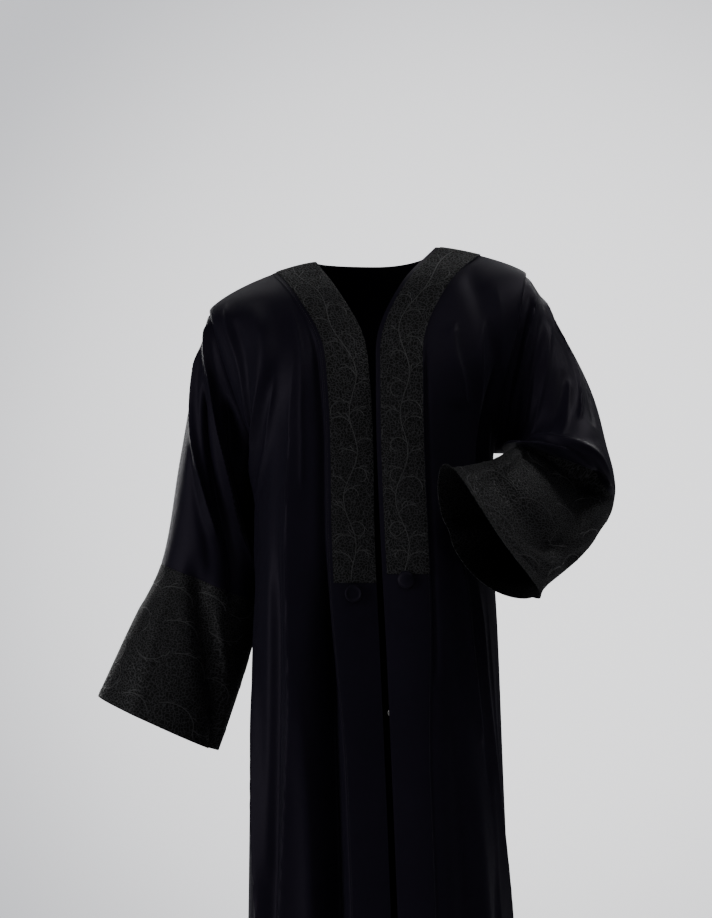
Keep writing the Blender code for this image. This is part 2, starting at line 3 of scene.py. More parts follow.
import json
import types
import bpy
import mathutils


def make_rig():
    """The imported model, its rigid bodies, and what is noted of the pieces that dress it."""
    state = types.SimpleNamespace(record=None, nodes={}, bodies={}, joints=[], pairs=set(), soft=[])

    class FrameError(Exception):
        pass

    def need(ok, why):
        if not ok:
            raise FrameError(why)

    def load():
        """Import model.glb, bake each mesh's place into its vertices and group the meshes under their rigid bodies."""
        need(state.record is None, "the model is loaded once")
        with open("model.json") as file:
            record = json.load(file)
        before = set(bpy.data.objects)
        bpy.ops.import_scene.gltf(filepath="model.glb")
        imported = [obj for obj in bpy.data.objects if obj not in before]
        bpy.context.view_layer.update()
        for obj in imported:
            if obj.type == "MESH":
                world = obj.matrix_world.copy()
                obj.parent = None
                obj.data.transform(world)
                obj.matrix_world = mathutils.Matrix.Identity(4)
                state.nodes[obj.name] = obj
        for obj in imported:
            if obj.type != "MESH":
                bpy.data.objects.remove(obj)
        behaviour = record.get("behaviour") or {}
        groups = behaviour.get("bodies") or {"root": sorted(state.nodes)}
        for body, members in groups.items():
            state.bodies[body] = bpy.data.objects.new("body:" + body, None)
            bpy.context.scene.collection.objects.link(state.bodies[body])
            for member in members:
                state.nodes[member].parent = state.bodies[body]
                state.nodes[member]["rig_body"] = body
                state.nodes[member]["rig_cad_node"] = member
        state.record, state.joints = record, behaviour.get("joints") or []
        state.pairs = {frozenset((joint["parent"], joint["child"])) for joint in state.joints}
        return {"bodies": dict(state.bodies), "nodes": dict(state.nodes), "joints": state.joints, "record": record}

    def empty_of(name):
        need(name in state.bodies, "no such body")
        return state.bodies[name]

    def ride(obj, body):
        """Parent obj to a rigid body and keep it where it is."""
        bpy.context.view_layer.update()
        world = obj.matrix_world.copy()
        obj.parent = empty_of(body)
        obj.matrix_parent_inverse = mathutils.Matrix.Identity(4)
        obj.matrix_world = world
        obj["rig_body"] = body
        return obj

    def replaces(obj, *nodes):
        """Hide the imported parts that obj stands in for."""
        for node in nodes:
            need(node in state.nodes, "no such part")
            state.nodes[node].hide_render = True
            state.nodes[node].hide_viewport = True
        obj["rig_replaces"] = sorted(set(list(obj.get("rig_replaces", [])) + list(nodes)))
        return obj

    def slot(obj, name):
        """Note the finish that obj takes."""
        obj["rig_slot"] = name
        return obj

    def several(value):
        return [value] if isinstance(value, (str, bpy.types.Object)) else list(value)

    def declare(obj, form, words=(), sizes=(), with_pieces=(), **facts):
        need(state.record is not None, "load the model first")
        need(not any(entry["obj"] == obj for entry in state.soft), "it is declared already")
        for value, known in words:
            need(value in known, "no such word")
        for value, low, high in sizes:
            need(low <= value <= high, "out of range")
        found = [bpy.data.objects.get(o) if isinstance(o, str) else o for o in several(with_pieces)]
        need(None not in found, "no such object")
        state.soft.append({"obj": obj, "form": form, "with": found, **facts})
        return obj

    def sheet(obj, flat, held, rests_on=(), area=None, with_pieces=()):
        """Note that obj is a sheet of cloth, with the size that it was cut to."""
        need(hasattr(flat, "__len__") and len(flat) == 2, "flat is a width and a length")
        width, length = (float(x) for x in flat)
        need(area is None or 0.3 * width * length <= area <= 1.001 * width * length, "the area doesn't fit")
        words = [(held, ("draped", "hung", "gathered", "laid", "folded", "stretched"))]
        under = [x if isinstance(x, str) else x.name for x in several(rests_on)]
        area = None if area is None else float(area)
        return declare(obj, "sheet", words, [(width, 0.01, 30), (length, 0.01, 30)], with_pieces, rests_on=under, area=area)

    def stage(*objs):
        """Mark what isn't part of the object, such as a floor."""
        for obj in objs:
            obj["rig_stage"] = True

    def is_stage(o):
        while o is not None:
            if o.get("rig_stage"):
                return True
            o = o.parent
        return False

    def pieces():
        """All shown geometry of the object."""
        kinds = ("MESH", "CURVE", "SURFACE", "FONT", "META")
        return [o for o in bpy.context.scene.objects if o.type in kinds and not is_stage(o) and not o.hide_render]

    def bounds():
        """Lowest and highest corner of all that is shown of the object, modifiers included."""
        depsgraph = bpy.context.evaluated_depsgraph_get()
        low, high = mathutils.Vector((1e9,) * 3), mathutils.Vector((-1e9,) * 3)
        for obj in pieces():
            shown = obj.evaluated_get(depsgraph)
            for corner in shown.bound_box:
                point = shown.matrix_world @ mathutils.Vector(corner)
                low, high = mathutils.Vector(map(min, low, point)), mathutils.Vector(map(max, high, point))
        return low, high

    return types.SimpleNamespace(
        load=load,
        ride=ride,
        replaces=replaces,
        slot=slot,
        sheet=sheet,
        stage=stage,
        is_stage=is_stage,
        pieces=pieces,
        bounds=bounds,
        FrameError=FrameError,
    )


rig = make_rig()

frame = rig.load()

import json
from collections import namedtuple
from math import radians

import bmesh
import bpy
import numpy as np
from mathutils import Matrix, Vector

cad_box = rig.bounds()

# ---------- sizes, metres
UNDERARM = 0.250
HEM = 1.420
FRONT_BAND = 0.060
FRONT_BAND_FOOT = 0.050
LACE_MARGIN = 0.006
LACE_END_RIGHT = 0.428
LACE_END_LEFT = 0.417
BACK_NECK_SHARE = 0.36
SHOULDER_STEPS = 6.0
NECK_STEPS = 3.0
CUFF_SEAM_RIGHT = 0.300
CUFF_SEAM_LEFT = 0.290
SLEEVE_HEM_RIGHT = 0.495
SLEEVE_HEM_LEFT = 0.485

MM = 0.001
DEGREE = 0.085 * np.pi / 180.0   # one degree round a sleeve, as metres of cloth
BAND_COLUMNS = 20
FRONT_COLUMNS = 128
FRONT_ROWS = (80, 50, 150)       # down to the underarm, the lace's end and the hem
BACK_COLUMNS = 76                # each side of the centre
BACK_ROWS = (80, 170)
LACE_COLUMNS = 25
CROWDED = 1.3                    # a front's columns lie closer together beside its band
SLEEVE_COLUMNS = 216
SLEEVE_ROWS = 124
CUFF_ROWS = 72
FOLD_STEPS = 48
FADE_IN = 0.16                   # the shares of its path over which a fold rises and dies away
FADE_OUT = 0.10
CORD_STEP = 0.0012

CREPE_WALL = 0.0010
BAND_WALL = 0.0008
LACE_WALL = 0.0009
BAND_GAP = 0.0002                # between front and band, and between band and lace
SEAM_HALF = 0.0002
TUCK = 0.0050                    # a sleeve's head runs this far under the armhole's edge
TUCK_DROP = 0.0008
HEM_TURN = 0.020                 # the hem is turned up and stitched this far above its edge
STITCH = 0.0026
STITCH_PITCH = 0.0036
STITCH_MARGIN = 0.004            # bare cloth at each end of a row of stitches
BUTTON_LIFT = 0.0028
SNAP_DOWN = 0.593
SNAP_DEPTH = 0.0026
FLOOR = -1.470
FLOOR_HALF = 3.4
FLOOR_GLOW = 0.42
PALE = (0.86, 0.87, 0.92, 1.0)   # what the eye sees of floor and wall

# ---------- tables
# A panel's level curve: how far down it lies, its front or centre edge, its side where a side
# seam has one, how square it goes round (1 is an ellipse), and how far it swells.
Section = namedtuple("Section", "down edge_x edge_y edge_z side_x side_y square swell")


def sections(*rows):
    """Sections from rows in millimetres, apart from square."""
    return [Section(*(value if value is None or index == 6 else value * MM
                      for index, value in enumerate(row))) for row in rows]


FRONT_RIGHT = sections(
    (0, -78, 0, -10, None, None, 1.5, 0),
    (65, -47, -55, -54, None, None, 1.3, 8),
    (130, -16.5, -98, -112, None, None, 1.1, 14),
    (190, -8, -119, -175, None, None, 1, 17),
    (250, -4.5, -128, -235, None, None, 0.95, 17),
    (345, -3.5, -134, -338, -153.5, 4, 0.85, 16),
    (500, 3.5, -138, -495, -161.2, 8, 0.85, 14),
    (700, 12.5, -140, -697, -165, 10, 0.85, 12),
    (950, 21.5, -146, -948, -169, 10, 0.85, 10),
    (1200, 28, -153, -1200, -180, 10, 0.85, 8),
    (1420, 34, -160, -1420, -194, 10, 0.85, 6))
FRONT_LEFT = sections(
    (0, 78, 0, 10, None, None, 1.5, 0),
    (65, 33, -63, -40, None, None, 1.3, 8),
    (130, 2, -98, -106, None, None, 1.1, 14),
    (190, -0.5, -119, -173, None, None, 1, 17),
    (250, -0.4, -128, -235, None, None, 0.95, 17),
    (345, 3.5, -134, -338, 151.5, 4, 0.85, 16),
    (500, 11.5, -138, -495, 159.6, 8, 0.85, 14),
    (700, 20.5, -140, -697, 167.6, 10, 0.85, 12),
    (950, 30, -146, -948, 179, 10, 0.85, 10),
    (1200, 37, -153, -1200, 190, 10, 0.85, 8),
    (1420, 43, -160, -1420, 206, 10, 0.85, 6))
BACK = sections(
    (0, 0, 52, -12, None, None, 1.4, 0),
    (65, 0, 85, -62, None, None, 1.2, 6),
    (130, 0, 104, -122, None, None, 1.05, 13),
    (190, 0, 113, -182, None, None, 1, 17),
    (250, 0, 117, -242, None, None, 1, 18),
    (345, 0, 120, -338, None, None, 1, 17),
    (500, 1, 124, -495, None, None, 0.95, 15),
    (700, 2, 132, -697, None, None, 0.92, 12),
    (950, 4, 146, -948, None, None, 0.9, 10),
    (1200, 6, 160, -1200, None, None, 0.9, 8),
    (1420, 8, 172, -1420, None, None, 0.9, 6))

# A ring round a sleeve: how far down the sleeve it lies, and four corners of it.
Ring = namedtuple("Ring", "down outer front inner back")


def rings(*rows):
    """Rings from rows in millimetres."""
    return [Ring(down * MM, *([value * MM for value in corner] for corner in corners))
            for down, *corners in rows]


SLEEVE_RIGHT = rings(
    (0, (-218, 0, -73), (-190, -58, -165), (-158, 0, -252), (-188, 66, -165)),
    (80, (-236.8, 10, -155), (-207, -48, -212), (-158, 42, -300), (-206, 80, -215)),
    (180, (-258, 22, -268), (-214, -32, -305), (-153, 58, -372), (-216, 92, -310)),
    (300, (-284, 40, -405), (-218, -12, -430), (-151, 70, -460), (-217, 102, -432)),
    (400, (-324, 40, -486), (-247, -18, -516), (-174, 60, -551), (-247, 100, -515)),
    (495, (-367.5, 40, -580), (-286, -24, -614.5), (-208, 50, -654), (-286, 98, -614.5)))
SLEEVE_LEFT = rings(
    (0, (197, 0, -24), (176, -58, -130), (154, 0, -260), (176, 66, -130)),
    (70, (245, 2, -103), (206, -72, -168), (170, -4, -260), (214, 75, -165)),
    (150, (286.2, 5, -188), (237, -92, -208), (172, -22, -260), (250, 82, -215)),
    (210, (302.2, 3, -252), (256, -118, -238), (167, -47, -256), (272, 82, -265)),
    (250, (310, 3, -300), (268, -126, -264), (163, -66, -250), (274, 76, -312)),
    (272, (311.4, 2, -320), (270, -112, -282), (170, -71, -249), (267, 67, -336)),
    (290, (310.4, 0, -331), (263, -92, -286), (181, -70, -257), (260, 58, -345)),
    (335, (292, -33, -358.5), (245.5, -128, -307), (158, -102, -264.5), (230, -4, -361)),
    (390, (267.2, -75, -387.2), (226, -165, -334), (142, -136, -270), (200, -60, -378)),
    (485, (193.2, -180, -439.2), (148, -246, -370), (80.2, -205, -281), (107, -160, -396)))

# Folds and creases, listed one by one. Each row says how far the fold stands out of the cloth
# (below zero for a hollow), its half widths towards the front edge and away from it, all in
# millimetres, how many times wider it is at its foot, how sharp its ridge is (1 rounded, 2 a
# knife edge), and the points it runs through: millimetres down the cloth, then millimetres
# across a panel, or degrees round a sleeve, where 0 is its outer line, 90 the front, 180 the
# inner line and 270 the back.

# paths that a rounded fold and the crisp ridge on it share
CHEST = ((171, 148), (239, 187), (322, 230), (430, 250))
PLEAT = ((196, 102), (327, 107), (475, 113), (572, 115), (657, 122), (851, 140), (1100, 160),
         (1560, 190))
SIDE_PLEAT = ((600, 199), (700, 193), (857, 185), (1100, 198), (1560, 228))
FOLDS_RIGHT = (
    # from the chest out to the side
    (8.5, 20, 18, 0.7, 1, ((50, 104), (111, 123), (145, 137), *CHEST)),
    (3, 6, 6, 1, 1.7, ((140, 136), *CHEST)),
    (4.5, 8, 9, 1.2, 1.6, ((150, 118), (194, 132), (265, 162), (353, 222), (450, 248))),
    # the long pleat-like fold below the chest: a rounded body with a crisp ridge on it
    (8, 26, 18, 1.5, 1, ((80, 80), *PLEAT)),
    (6.2, 13, 4.2, 1.2, 1.6, ((110, 86), *PLEAT)),
    (5.5, 10, 20, 1.3, 1.2, ((520, 108), (640, 100), (750, 98), (851, 99), (1100, 106),
     (1560, 118))),
    # the hollow that the band hangs over, deep below the lace
    (-6, 6, 10, 1, 1, ((85, 61), (327, 62), (480, 62), (620, 62))),
    (-30, 10, 20, 1.7, 1, ((360, 60), (541, 64), (674, 66), (851, 68), (1100, 74), (1560, 84))),
    # hollow and fold towards the side seam
    (-10, 14, 18, 1.4, 1, ((300, 138), (475, 142), (657, 152), (854, 164), (1100, 182),
     (1560, 212))),
    (4, 10, 12, 1, 1.2, ((380, 152), (578, 160), (700, 168), (820, 172))),
    (9, 18, 14, 1.4, 1, ((460, 206), *SIDE_PLEAT)),
    (4.4, 9, 4.5, 1.1, 1.7, SIDE_PLEAT),
    # faint ones
    (1.6, 5, 5, 1, 1.5, ((70, 68), (117, 79), (200, 88), (320, 90))),
    (2.6, 8, 7, 1, 1.4, ((30, 136), (83, 160), (134, 172), (210, 200))),
    (-3, 10, 10, 1, 1, ((60, 142), (120, 158), (180, 176), (240, 206))),
    (1.8, 6, 6, 1.3, 1.4, ((820, 122), (1000, 130), (1200, 140), (1560, 150))),
    (-2.2, 10, 8, 1.2, 1.2, ((700, 220), (900, 224), (1150, 236), (1560, 254))),
)
FOLDS_LEFT = (
    (-3, 4, 7, 1, 1, ((120, 62), (320, 63), (430, 62), (560, 60))),
    # from the neck to the underarm
    (-4.5, 16, 16, 1.1, 1, ((20, 66), (46, 80), (90, 118), (134, 154), (194, 190), (270, 214))),
    (4, 20, 6, 1, 1.3, ((110, 92), (145, 102), (171, 112), (205, 118))),
    (-13, 18, 24, 1, 1, ((140, 172), (222, 162), (300, 158), (400, 146))),
    (3.6, 8, 7, 1, 1.5, ((90, 126), (160, 140), (220, 140), (320, 128))),
    (1.4, 7, 7, 1, 1.5, ((60, 120), (90, 142), (150, 176), (215, 200))),
    # below the cuff
    (4.8, 10, 6, 1, 1.5, ((380, 98), (440, 110), (500, 114), (570, 120), (640, 128))),
    (-3, 8, 10, 1, 1, ((330, 108), (440, 120), (520, 126), (620, 136), (700, 144))),
    (4.6, 14, 14, 1.5, 1, ((340, 110), (401, 121), (452, 132), (552, 139), (657, 154), (763, 176),
     (857, 200), (1100, 212), (1560, 232))),
    (2, 4, 6, 1.2, 1.7, ((380, 116), (452, 132), (552, 139), (657, 154), (763, 176), (857, 200),
     (1100, 212))),
    (2.2, 5, 7, 1.2, 1.5, ((430, 156), (555, 163), (657, 176), (763, 200), (900, 222),
     (1200, 236))),
    (1.4, 5, 6, 1.1, 1.5, ((420, 124), (560, 130), (700, 148), (860, 166), (1120, 178))),
    (-2.6, 10, 10, 1.4, 1, ((460, 176), (650, 198), (860, 222), (1100, 230), (1560, 250))),
    (-4, 14, 16, 1.4, 1, ((480, 80), (800, 86), (1100, 92), (1560, 100))),
    (5, 18, 16, 1.5, 1, ((640, 112), (860, 122), (1100, 134), (1560, 150))),
    (-6, 14, 16, 1.4, 1, ((740, 150), (900, 156), (1120, 168), (1560, 188))),
)
FOLDS_BACK = (
    (10, 26, 26, 1.5, 1, ((100, 26), (500, 18), (1000, 34), (1560, 30))),
    (3.4, 7, 6, 1.3, 1.7, ((220, 24), (500, 18), (1000, 34), (1560, 30))),
    (-15, 22, 22, 1.5, 1, ((200, 70), (600, 74), (1000, 84), (1560, 92))),
    (12, 20, 20, 1.6, 1, ((120, 108), (500, 118), (1000, 134), (1560, 146))),
    (3.6, 6, 7, 1.3, 1.7, ((260, 112), (500, 118), (1000, 134), (1560, 146))),
    (-12, 20, 20, 1.5, 1, ((320, 150), (700, 172), (1000, 186), (1560, 204))),
    (4, 9, 9, 1.2, 1.4, ((420, 176), (720, 198), (1000, 212), (1400, 226))),
    (-13, 24, 22, 1.5, 1, ((140, -38), (600, -34), (1000, -46), (1560, -48))),
    (13, 22, 22, 1.5, 1, ((100, -80), (500, -90), (1000, -96), (1560, -104))),
    (3.6, 6, 6, 1.3, 1.7, ((200, -82), (500, -90), (1000, -96), (1560, -104))),
    (-12, 20, 20, 1.5, 1, ((260, -120), (600, -130), (1000, -146), (1560, -158))),
    (10, 18, 18, 1.6, 1, ((380, -156), (700, -176), (1000, -192), (1560, -212))),
    (3.4, 7, 6, 1.3, 1.7, ((520, -164), (700, -176), (1000, -192), (1560, -212))),
    (4.5, 11, 10, 1, 1.3, ((50, 152), (150, 136), (300, 124))),
    (-4, 12, 10, 1, 1, ((80, 132), (180, 118), (320, 110))),
    (4.5, 10, 11, 1, 1.3, ((45, -160), (140, -142), (310, -120))),
    (2, 6, 7, 1.2, 1.5, ((300, 50), (600, 46), (900, 56), (1300, 60))),
    (2.2, 7, 6, 1.2, 1.5, ((700, -66), (900, -70), (1200, -74), (1560, -78))),
)
SLEEVE_HEAD = ((-20, 14), (31, 50), (56, 75), (100, 94), (142, 108), (217, 127), (270, 152))
UPPER_ARM = ((80, 34), (106, 43), (150, 60), (187, 78), (240, 98))
CREASES_RIGHT = (
    (6, 26, 14, 1, 1, SLEEVE_HEAD),
    (4.5, 8, 6, 1, 1.8, SLEEVE_HEAD),
    (-15, 14, 30, 1.1, 1, ((20, 92), (80, 118), (131, 134), (200, 152), (290, 168))),
    (5, 22, 10, 1, 1, ((30, 14), *UPPER_ARM)),
    (3.4, 7, 5, 1, 1.8, ((40, 18), *UPPER_ARM)),
    (-9, 10, 12, 1.2, 1, ((60, 56), (142, 86), (187, 100), (240, 112), (320, 120))),
    (-3, 14, 14, 1, 1, ((140, 44), (200, 66), (250, 84), (320, 92))),
    (-13, 18, 22, 1.1, 1, ((270, 64), (343, 91), (364, 100), (389, 110), (416, 122), (440, 136),
     (464, 150), (500, 168), (540, 186))),
    (5, 6, 16, 1, 1.3, ((320, 98), (371, 118), (417, 138), (459, 160), (520, 190))),
    (3, 16, 16, 1, 1.2, ((300, 40), (400, 56), (530, 74))),
    (6, 20, 16, 1, 1, ((-10, 322), (100, 286), (200, 254), (310, 236))),
    (3, 7, 7, 1, 1.7, ((20, 314), (100, 286), (200, 254), (310, 236))),
    (-10, 24, 16, 1, 1, ((30, 286), (120, 256), (220, 226), (310, 205))),
    (-5, 14, 12, 1, 1, ((80, 326), (160, 306), (250, 290), (320, 284))),
    (-8, 18, 12, 1.1, 1, ((280, 250), (390, 246), (470, 236), (530, 230))),
    (4, 14, 10, 1, 1.2, ((300, 292), (420, 282), (530, 274))),
)
CREASES_LEFT = (
    # folds that run from the shoulder round to the underarm
    (-3.4, 10, 10, 1, 1, ((8, 24), (10, 40), (10, 60), (11, 88), (18, 118), (40, 152))),
    (3.2, 5, 8, 1, 1.7, ((16, 14), (20, 34), (24, 60), (26, 88), (32, 114), (56, 148))),
    (-3, 9, 9, 1, 1, ((38, 30), (42, 52), (50, 86), (72, 112), (110, 138))),
    (2.2, 6, 8, 1, 1.6, ((52, 30), (57, 46), (67, 62), (84, 84), (107, 106), (156, 130))),
    (-2.2, 10, 11, 1, 1, ((100, 52), (122, 76), (155, 102), (190, 120))),
    (2.4, 8, 10, 1, 1.4, ((110, 56), (142, 78), (175, 94), (210, 108))),
    (2.4, 10, 10, 1, 1.3, ((10, 92), (34, 124), (70, 156))),
    # the long one down the sleeve's outer side, inside its outline
    (4.4, 6, 5, 1, 1.8, ((24, -6), (31, 4), (42, 17), (56, 24), (72, 25), (92, 28), (117, 40),
     (144, 58), (167, 72), (182, 80))),
    (-2.4, 9, 9, 1, 1, ((60, 6), (86, 8), (112, 18), (142, 34), (172, 50), (195, 60))),
    # the rounded lip over the cuff
    (4.5, 12, 12, 1, 1.2, ((165, 138), (195, 119), (211, 111), (227, 93), (242, 78), (262, 66),
     (286, 52))),
    (-4, 9, 9, 1, 1, ((215, 128), (234, 112), (252, 94), (266, 80), (284, 66))),
    # the cuff: its end flares out beyond a hollow, with two creases along the flare
    (15, 26, 26, 1, 1, ((500, 196), (500, 150), (500, 105), (500, 50), (500, -2))),
    (-8, 26, 26, 1, 1, ((430, 172), (432, 110), (426, 60), (414, 2))),
    (-2.2, 3.5, 3.5, 1, 1, ((466, 158), (474, 105), (470, 60), (462, 10))),
    (-1.8, 3.5, 3.5, 1, 1, ((452, 150), (462, 100), (456, 60), (450, 24))),
    (-16, 30, 72, 1, 1, ((260, 78), (320, 70), (360, 62), (410, 54), (448, 46))),
    (6, 16, 18, 1, 1, ((290, 158), (340, 154), (400, 150), (460, 148))),
    (2.2, 6, 8, 1, 1.4, ((300, 148), (340, 146), (420, 144))),
    # behind
    (6, 16, 16, 1, 1, ((0, 340), (80, 302), (160, 272), (250, 254))),
    (3, 7, 7, 1, 1.7, ((30, 326), (80, 302), (160, 272), (250, 254))),
    (-6, 14, 14, 1, 1, ((40, 350), (120, 318), (200, 292), (270, 280))),
    (3.4, 10, 10, 1, 1.4, ((190, 336), (230, 312), (255, 290))),
    (-3.4, 9, 9, 1, 1, ((225, 340), (255, 314), (275, 294))),
    (-5, 14, 14, 1, 1, ((300, 250), (390, 250), (500, 244))),
)


# ---------- curves
def through(keys, values, places):
    """A smooth curve through values at keys, read at places."""
    keys = np.asarray(keys, float)
    values = np.asarray(values, float).reshape(len(keys), -1)
    places = np.atleast_1d(np.asarray(places, float))
    slopes = np.gradient(values, keys, axis=0)
    span = np.clip(np.searchsorted(keys, places, side="right") - 1, 0, len(keys) - 2)
    step = (keys[span + 1] - keys[span])[:, None]
    t = (places - keys[span])[:, None] / step
    return ((2 * t**3 - 3 * t**2 + 1) * values[span]
            + (t**3 - 2 * t**2 + t) * step * slopes[span]
            + (3 * t**2 - 2 * t**3) * values[span + 1]
            + (t**3 - t**2) * step * slopes[span + 1])


def ease(value):
    value = np.clip(value, 0.0, 1.0)
    return value * value * (3.0 - 2.0 * value)


def unit(vectors):
    size = np.linalg.norm(vectors, axis=-1, keepdims=True)
    return vectors / np.maximum(size, 1e-12)


def distances(curve):
    """How far along a polyline each of its points lies."""
    steps = np.linalg.norm(np.diff(curve, axis=0), axis=1)
    return np.concatenate([[0.0], np.cumsum(steps)])


def along(curve, places):
    """Points of a polyline at distances from its start."""
    marks = distances(curve)
    return np.stack([np.interp(places, marks, curve[:, axis]) for axis in range(3)], axis=1)


def loop(ring, turns):
    """A rounded loop through a ring's four corners, read at turns."""
    outer, front, inner, back = (np.asarray(corner, float) for corner in ring)
    turns = np.asarray(turns, float)[..., None]
    middle = (outer + front + inner + back) / 4.0
    return (middle + (outer - inner) / 2.0 * np.cos(turns)
            + (front - back) / 2.0 * np.sin(turns)
            + (outer + inner - front - back) / 4.0 * np.cos(2.0 * turns))


# ---------- body surfaces
def side_line(front, sleeve, sign, rows):
    """A front's or back's outer border: round the armhole, then down the side seam."""
    armhole = rows <= UNDERARM + 1e-9
    line = np.zeros((len(rows), 3))
    line[armhole] = loop(sleeve[0][1:], sign * np.pi * rows[armhole] / UNDERARM)
    seam = [row for row in front if row.side_x is not None]
    keys = [UNDERARM] + [row.down for row in seam]
    values = [sleeve[0].inner] + [(row.side_x, row.side_y, row.edge_z) for row in seam]
    line[~armhole] = through(keys, values, rows[~armhole])
    return line


def hoop(edge, side, square, swell, outward):
    """The level curve from a panel's centre edge round to its side."""
    share = np.linspace(0.0, 1.0, 257)
    out = np.sin(share * np.pi / 2.0) ** square
    back = 1.0 - np.clip(np.cos(share * np.pi / 2.0), 0.0, 1.0) ** square
    points = edge + (side - edge) * np.stack([out, back, back], axis=1)
    points[:, 1] += outward * swell * np.sin(np.pi * share)
    return points


def shoulder_curve(front, sleeve):
    """The shoulder seam, from the neck out to the armhole's top."""
    high = np.array((front[0].edge_x, front[0].edge_y, front[0].edge_z))
    return hoop(high, np.array(sleeve[0].outer), front[0].square, 0.0, -1.0)


def section_values(table, rows):
    """Edges, and squares with swells, of a panel's table at the rows."""
    keys = [row.down for row in table]
    edges = through(keys, [(row.edge_x, row.edge_y, row.edge_z) for row in table], rows)
    forms = through(keys, [(row.square, row.swell) for row in table], rows)
    return edges, forms


def fold_height(folds, down, across, unit_across=MM):
    """How far the folds lift the cloth at each (down, across), both in metres."""
    places = np.stack([down.ravel(), across.ravel()], axis=1)
    height = np.zeros(len(places))
    for rise, inner, outer, grow, sharp, path in folds:
        points = np.array(path, float) * (MM, unit_across)
        marks = distances(points)
        curve = through(marks, points, np.linspace(0.0, marks[-1], FOLD_STEPS + 1))
        nearest = np.full(len(places), 1.0e9)
        share = np.zeros(len(places))
        side = np.zeros(len(places))
        for index, (start, end) in enumerate(zip(curve[:-1], curve[1:])):
            run = end - start
            reach = places - start
            part = np.clip(reach @ run / (run @ run), 0.0, 1.0)
            off = reach - part[:, None] * run
            gap = np.hypot(off[:, 0], off[:, 1])
            closer = gap < nearest
            nearest[closer] = gap[closer]
            share[closer] = (index + part[closer]) / FOLD_STEPS
            side[closer] = (run[0] * off[:, 1] - run[1] * off[:, 0])[closer]
        wide = np.where(side < 0.0, inner, outer) * MM * (1.0 + (grow - 1.0) * share)
        fade = ease(share / FADE_IN) * ease((1.0 - share) / FADE_OUT)
        taller = 1.0 + 0.5 * max(grow - 1.0, 0.0) * share
        height += rise * MM * fade * taller * np.exp(-1.6 * (nearest / wide) ** (2.0 / sharp))
    return height.reshape(down.shape)


def band_width(down):
    """The front band keeps its width beside the lace and narrows below the buttons."""
    return FRONT_BAND + (FRONT_BAND_FOOT - FRONT_BAND) * ease((down - 0.43) / 0.25)


def grid_normals(grid, sign):
    down = np.gradient(grid, axis=0)
    over = np.gradient(grid, axis=1)
    return unit(np.cross(over, down)) * sign


def softened(grid, rows, inside, passes=160, pull=0.6):
    """Evens out the change of slope at the underarm level. inside: distance from a seam."""
    weight = ease((rows - 0.150) / 0.07) * ease((0.400 - rows) / 0.10)
    weight = weight[1:-1, None] * ease(inside[1:-1] / 0.040)
    grid = grid.copy()
    for _ in range(passes):
        middle = (grid[:-2] + grid[2:]) / 2.0
        grid[1:-1] += pull * weight[..., None] * (middle - grid[1:-1])
    return grid


def seam_dip(places, near=0.0016, deep=0.0004):
    """The cloth rolls in a little where it meets a seam."""
    return -deep * np.exp(-((places / near) ** 2))


def front_surface(front, sleeve, folds, rows, columns):
    """A front's outer face, its levels, and how far round each point is from the edge."""
    edges, forms = section_values(front, rows)
    sides = side_line(front, sleeve, 1.0, rows)
    shoulder = shoulder_curve(front, sleeve)
    grid = []
    rounds = []
    for down, edge, side, (square, swell) in zip(rows, edges, sides, forms):
        fine = shoulder if down == 0.0 else hoop(edge, side, square, swell, -1.0)
        width = band_width(down)
        band = np.linspace(0.0, width, BAND_COLUMNS, endpoint=False)
        panel = np.linspace(0.0, 1.0, columns - BAND_COLUMNS) ** CROWDED
        places = np.concatenate([band, width + (distances(fine)[-1] - width) * panel])
        grid.append(along(fine, places))
        rounds.append(places)
    grid = np.array(grid)
    rounds = np.array(rounds)
    grid = softened(grid, rows, rounds[:, -1:] - rounds)
    downs = np.broadcast_to(rows[:, None], rounds.shape)
    lifts = fold_height(folds, downs, rounds)
    lifts *= ease((rounds - band_width(downs)) / 0.0035) * ease((rounds[:, -1:] - rounds) / 0.030)
    lifts += seam_dip(rounds[:, -1:] - rounds) + seam_dip(rows)[:, None]
    facing = grid_normals(grid, -1.0 if front[0].edge_x > 0.0 else 1.0)
    return grid + facing * lifts[..., None], rounds


def back_half(front, sleeve, rows, columns):
    """One half of the back, and how far round each point is from the centre."""
    edges, forms = section_values(BACK, rows)
    sides = side_line(front, sleeve, -1.0, rows)
    shoulder = shoulder_curve(front, sleeve)
    arc = np.linspace(0.0, np.pi / 2.0, 65)
    centre = np.array((BACK[0].edge_x, BACK[0].edge_y, BACK[0].edge_z))
    reach = shoulder[0] - centre
    neck = centre + reach * np.stack([np.sin(arc), 1.0 - np.cos(arc), 1.0 - np.cos(arc)], axis=1)
    steps = NECK_STEPS + SHOULDER_STEPS
    index = np.linspace(0.0, steps, columns + 1)
    on_neck = index <= NECK_STEPS
    top = np.zeros((columns + 1, 3))
    top[on_neck] = along(neck, index[on_neck] / NECK_STEPS * distances(neck)[-1])
    top[~on_neck] = along(
        shoulder, (index[~on_neck] - NECK_STEPS) / SHOULDER_STEPS * distances(shoulder)[-1])
    shares = np.interp(index, [0.0, NECK_STEPS, steps], [0.0, BACK_NECK_SHARE, 1.0])
    even = index / steps
    grid = []
    rounds = []
    for down, edge, side, (square, swell) in zip(rows, edges, sides, forms):
        fine = hoop(edge, side, square, swell, 1.0)
        level = ease(down / UNDERARM)
        places = (shares * (1.0 - level) + even * level) * distances(fine)[-1]
        high = 1.0 - ease(down / 0.075)
        grid.append(top * high + along(fine, places) * (1.0 - high))
        rounds.append(places)
    return np.array(grid), np.array(rounds)


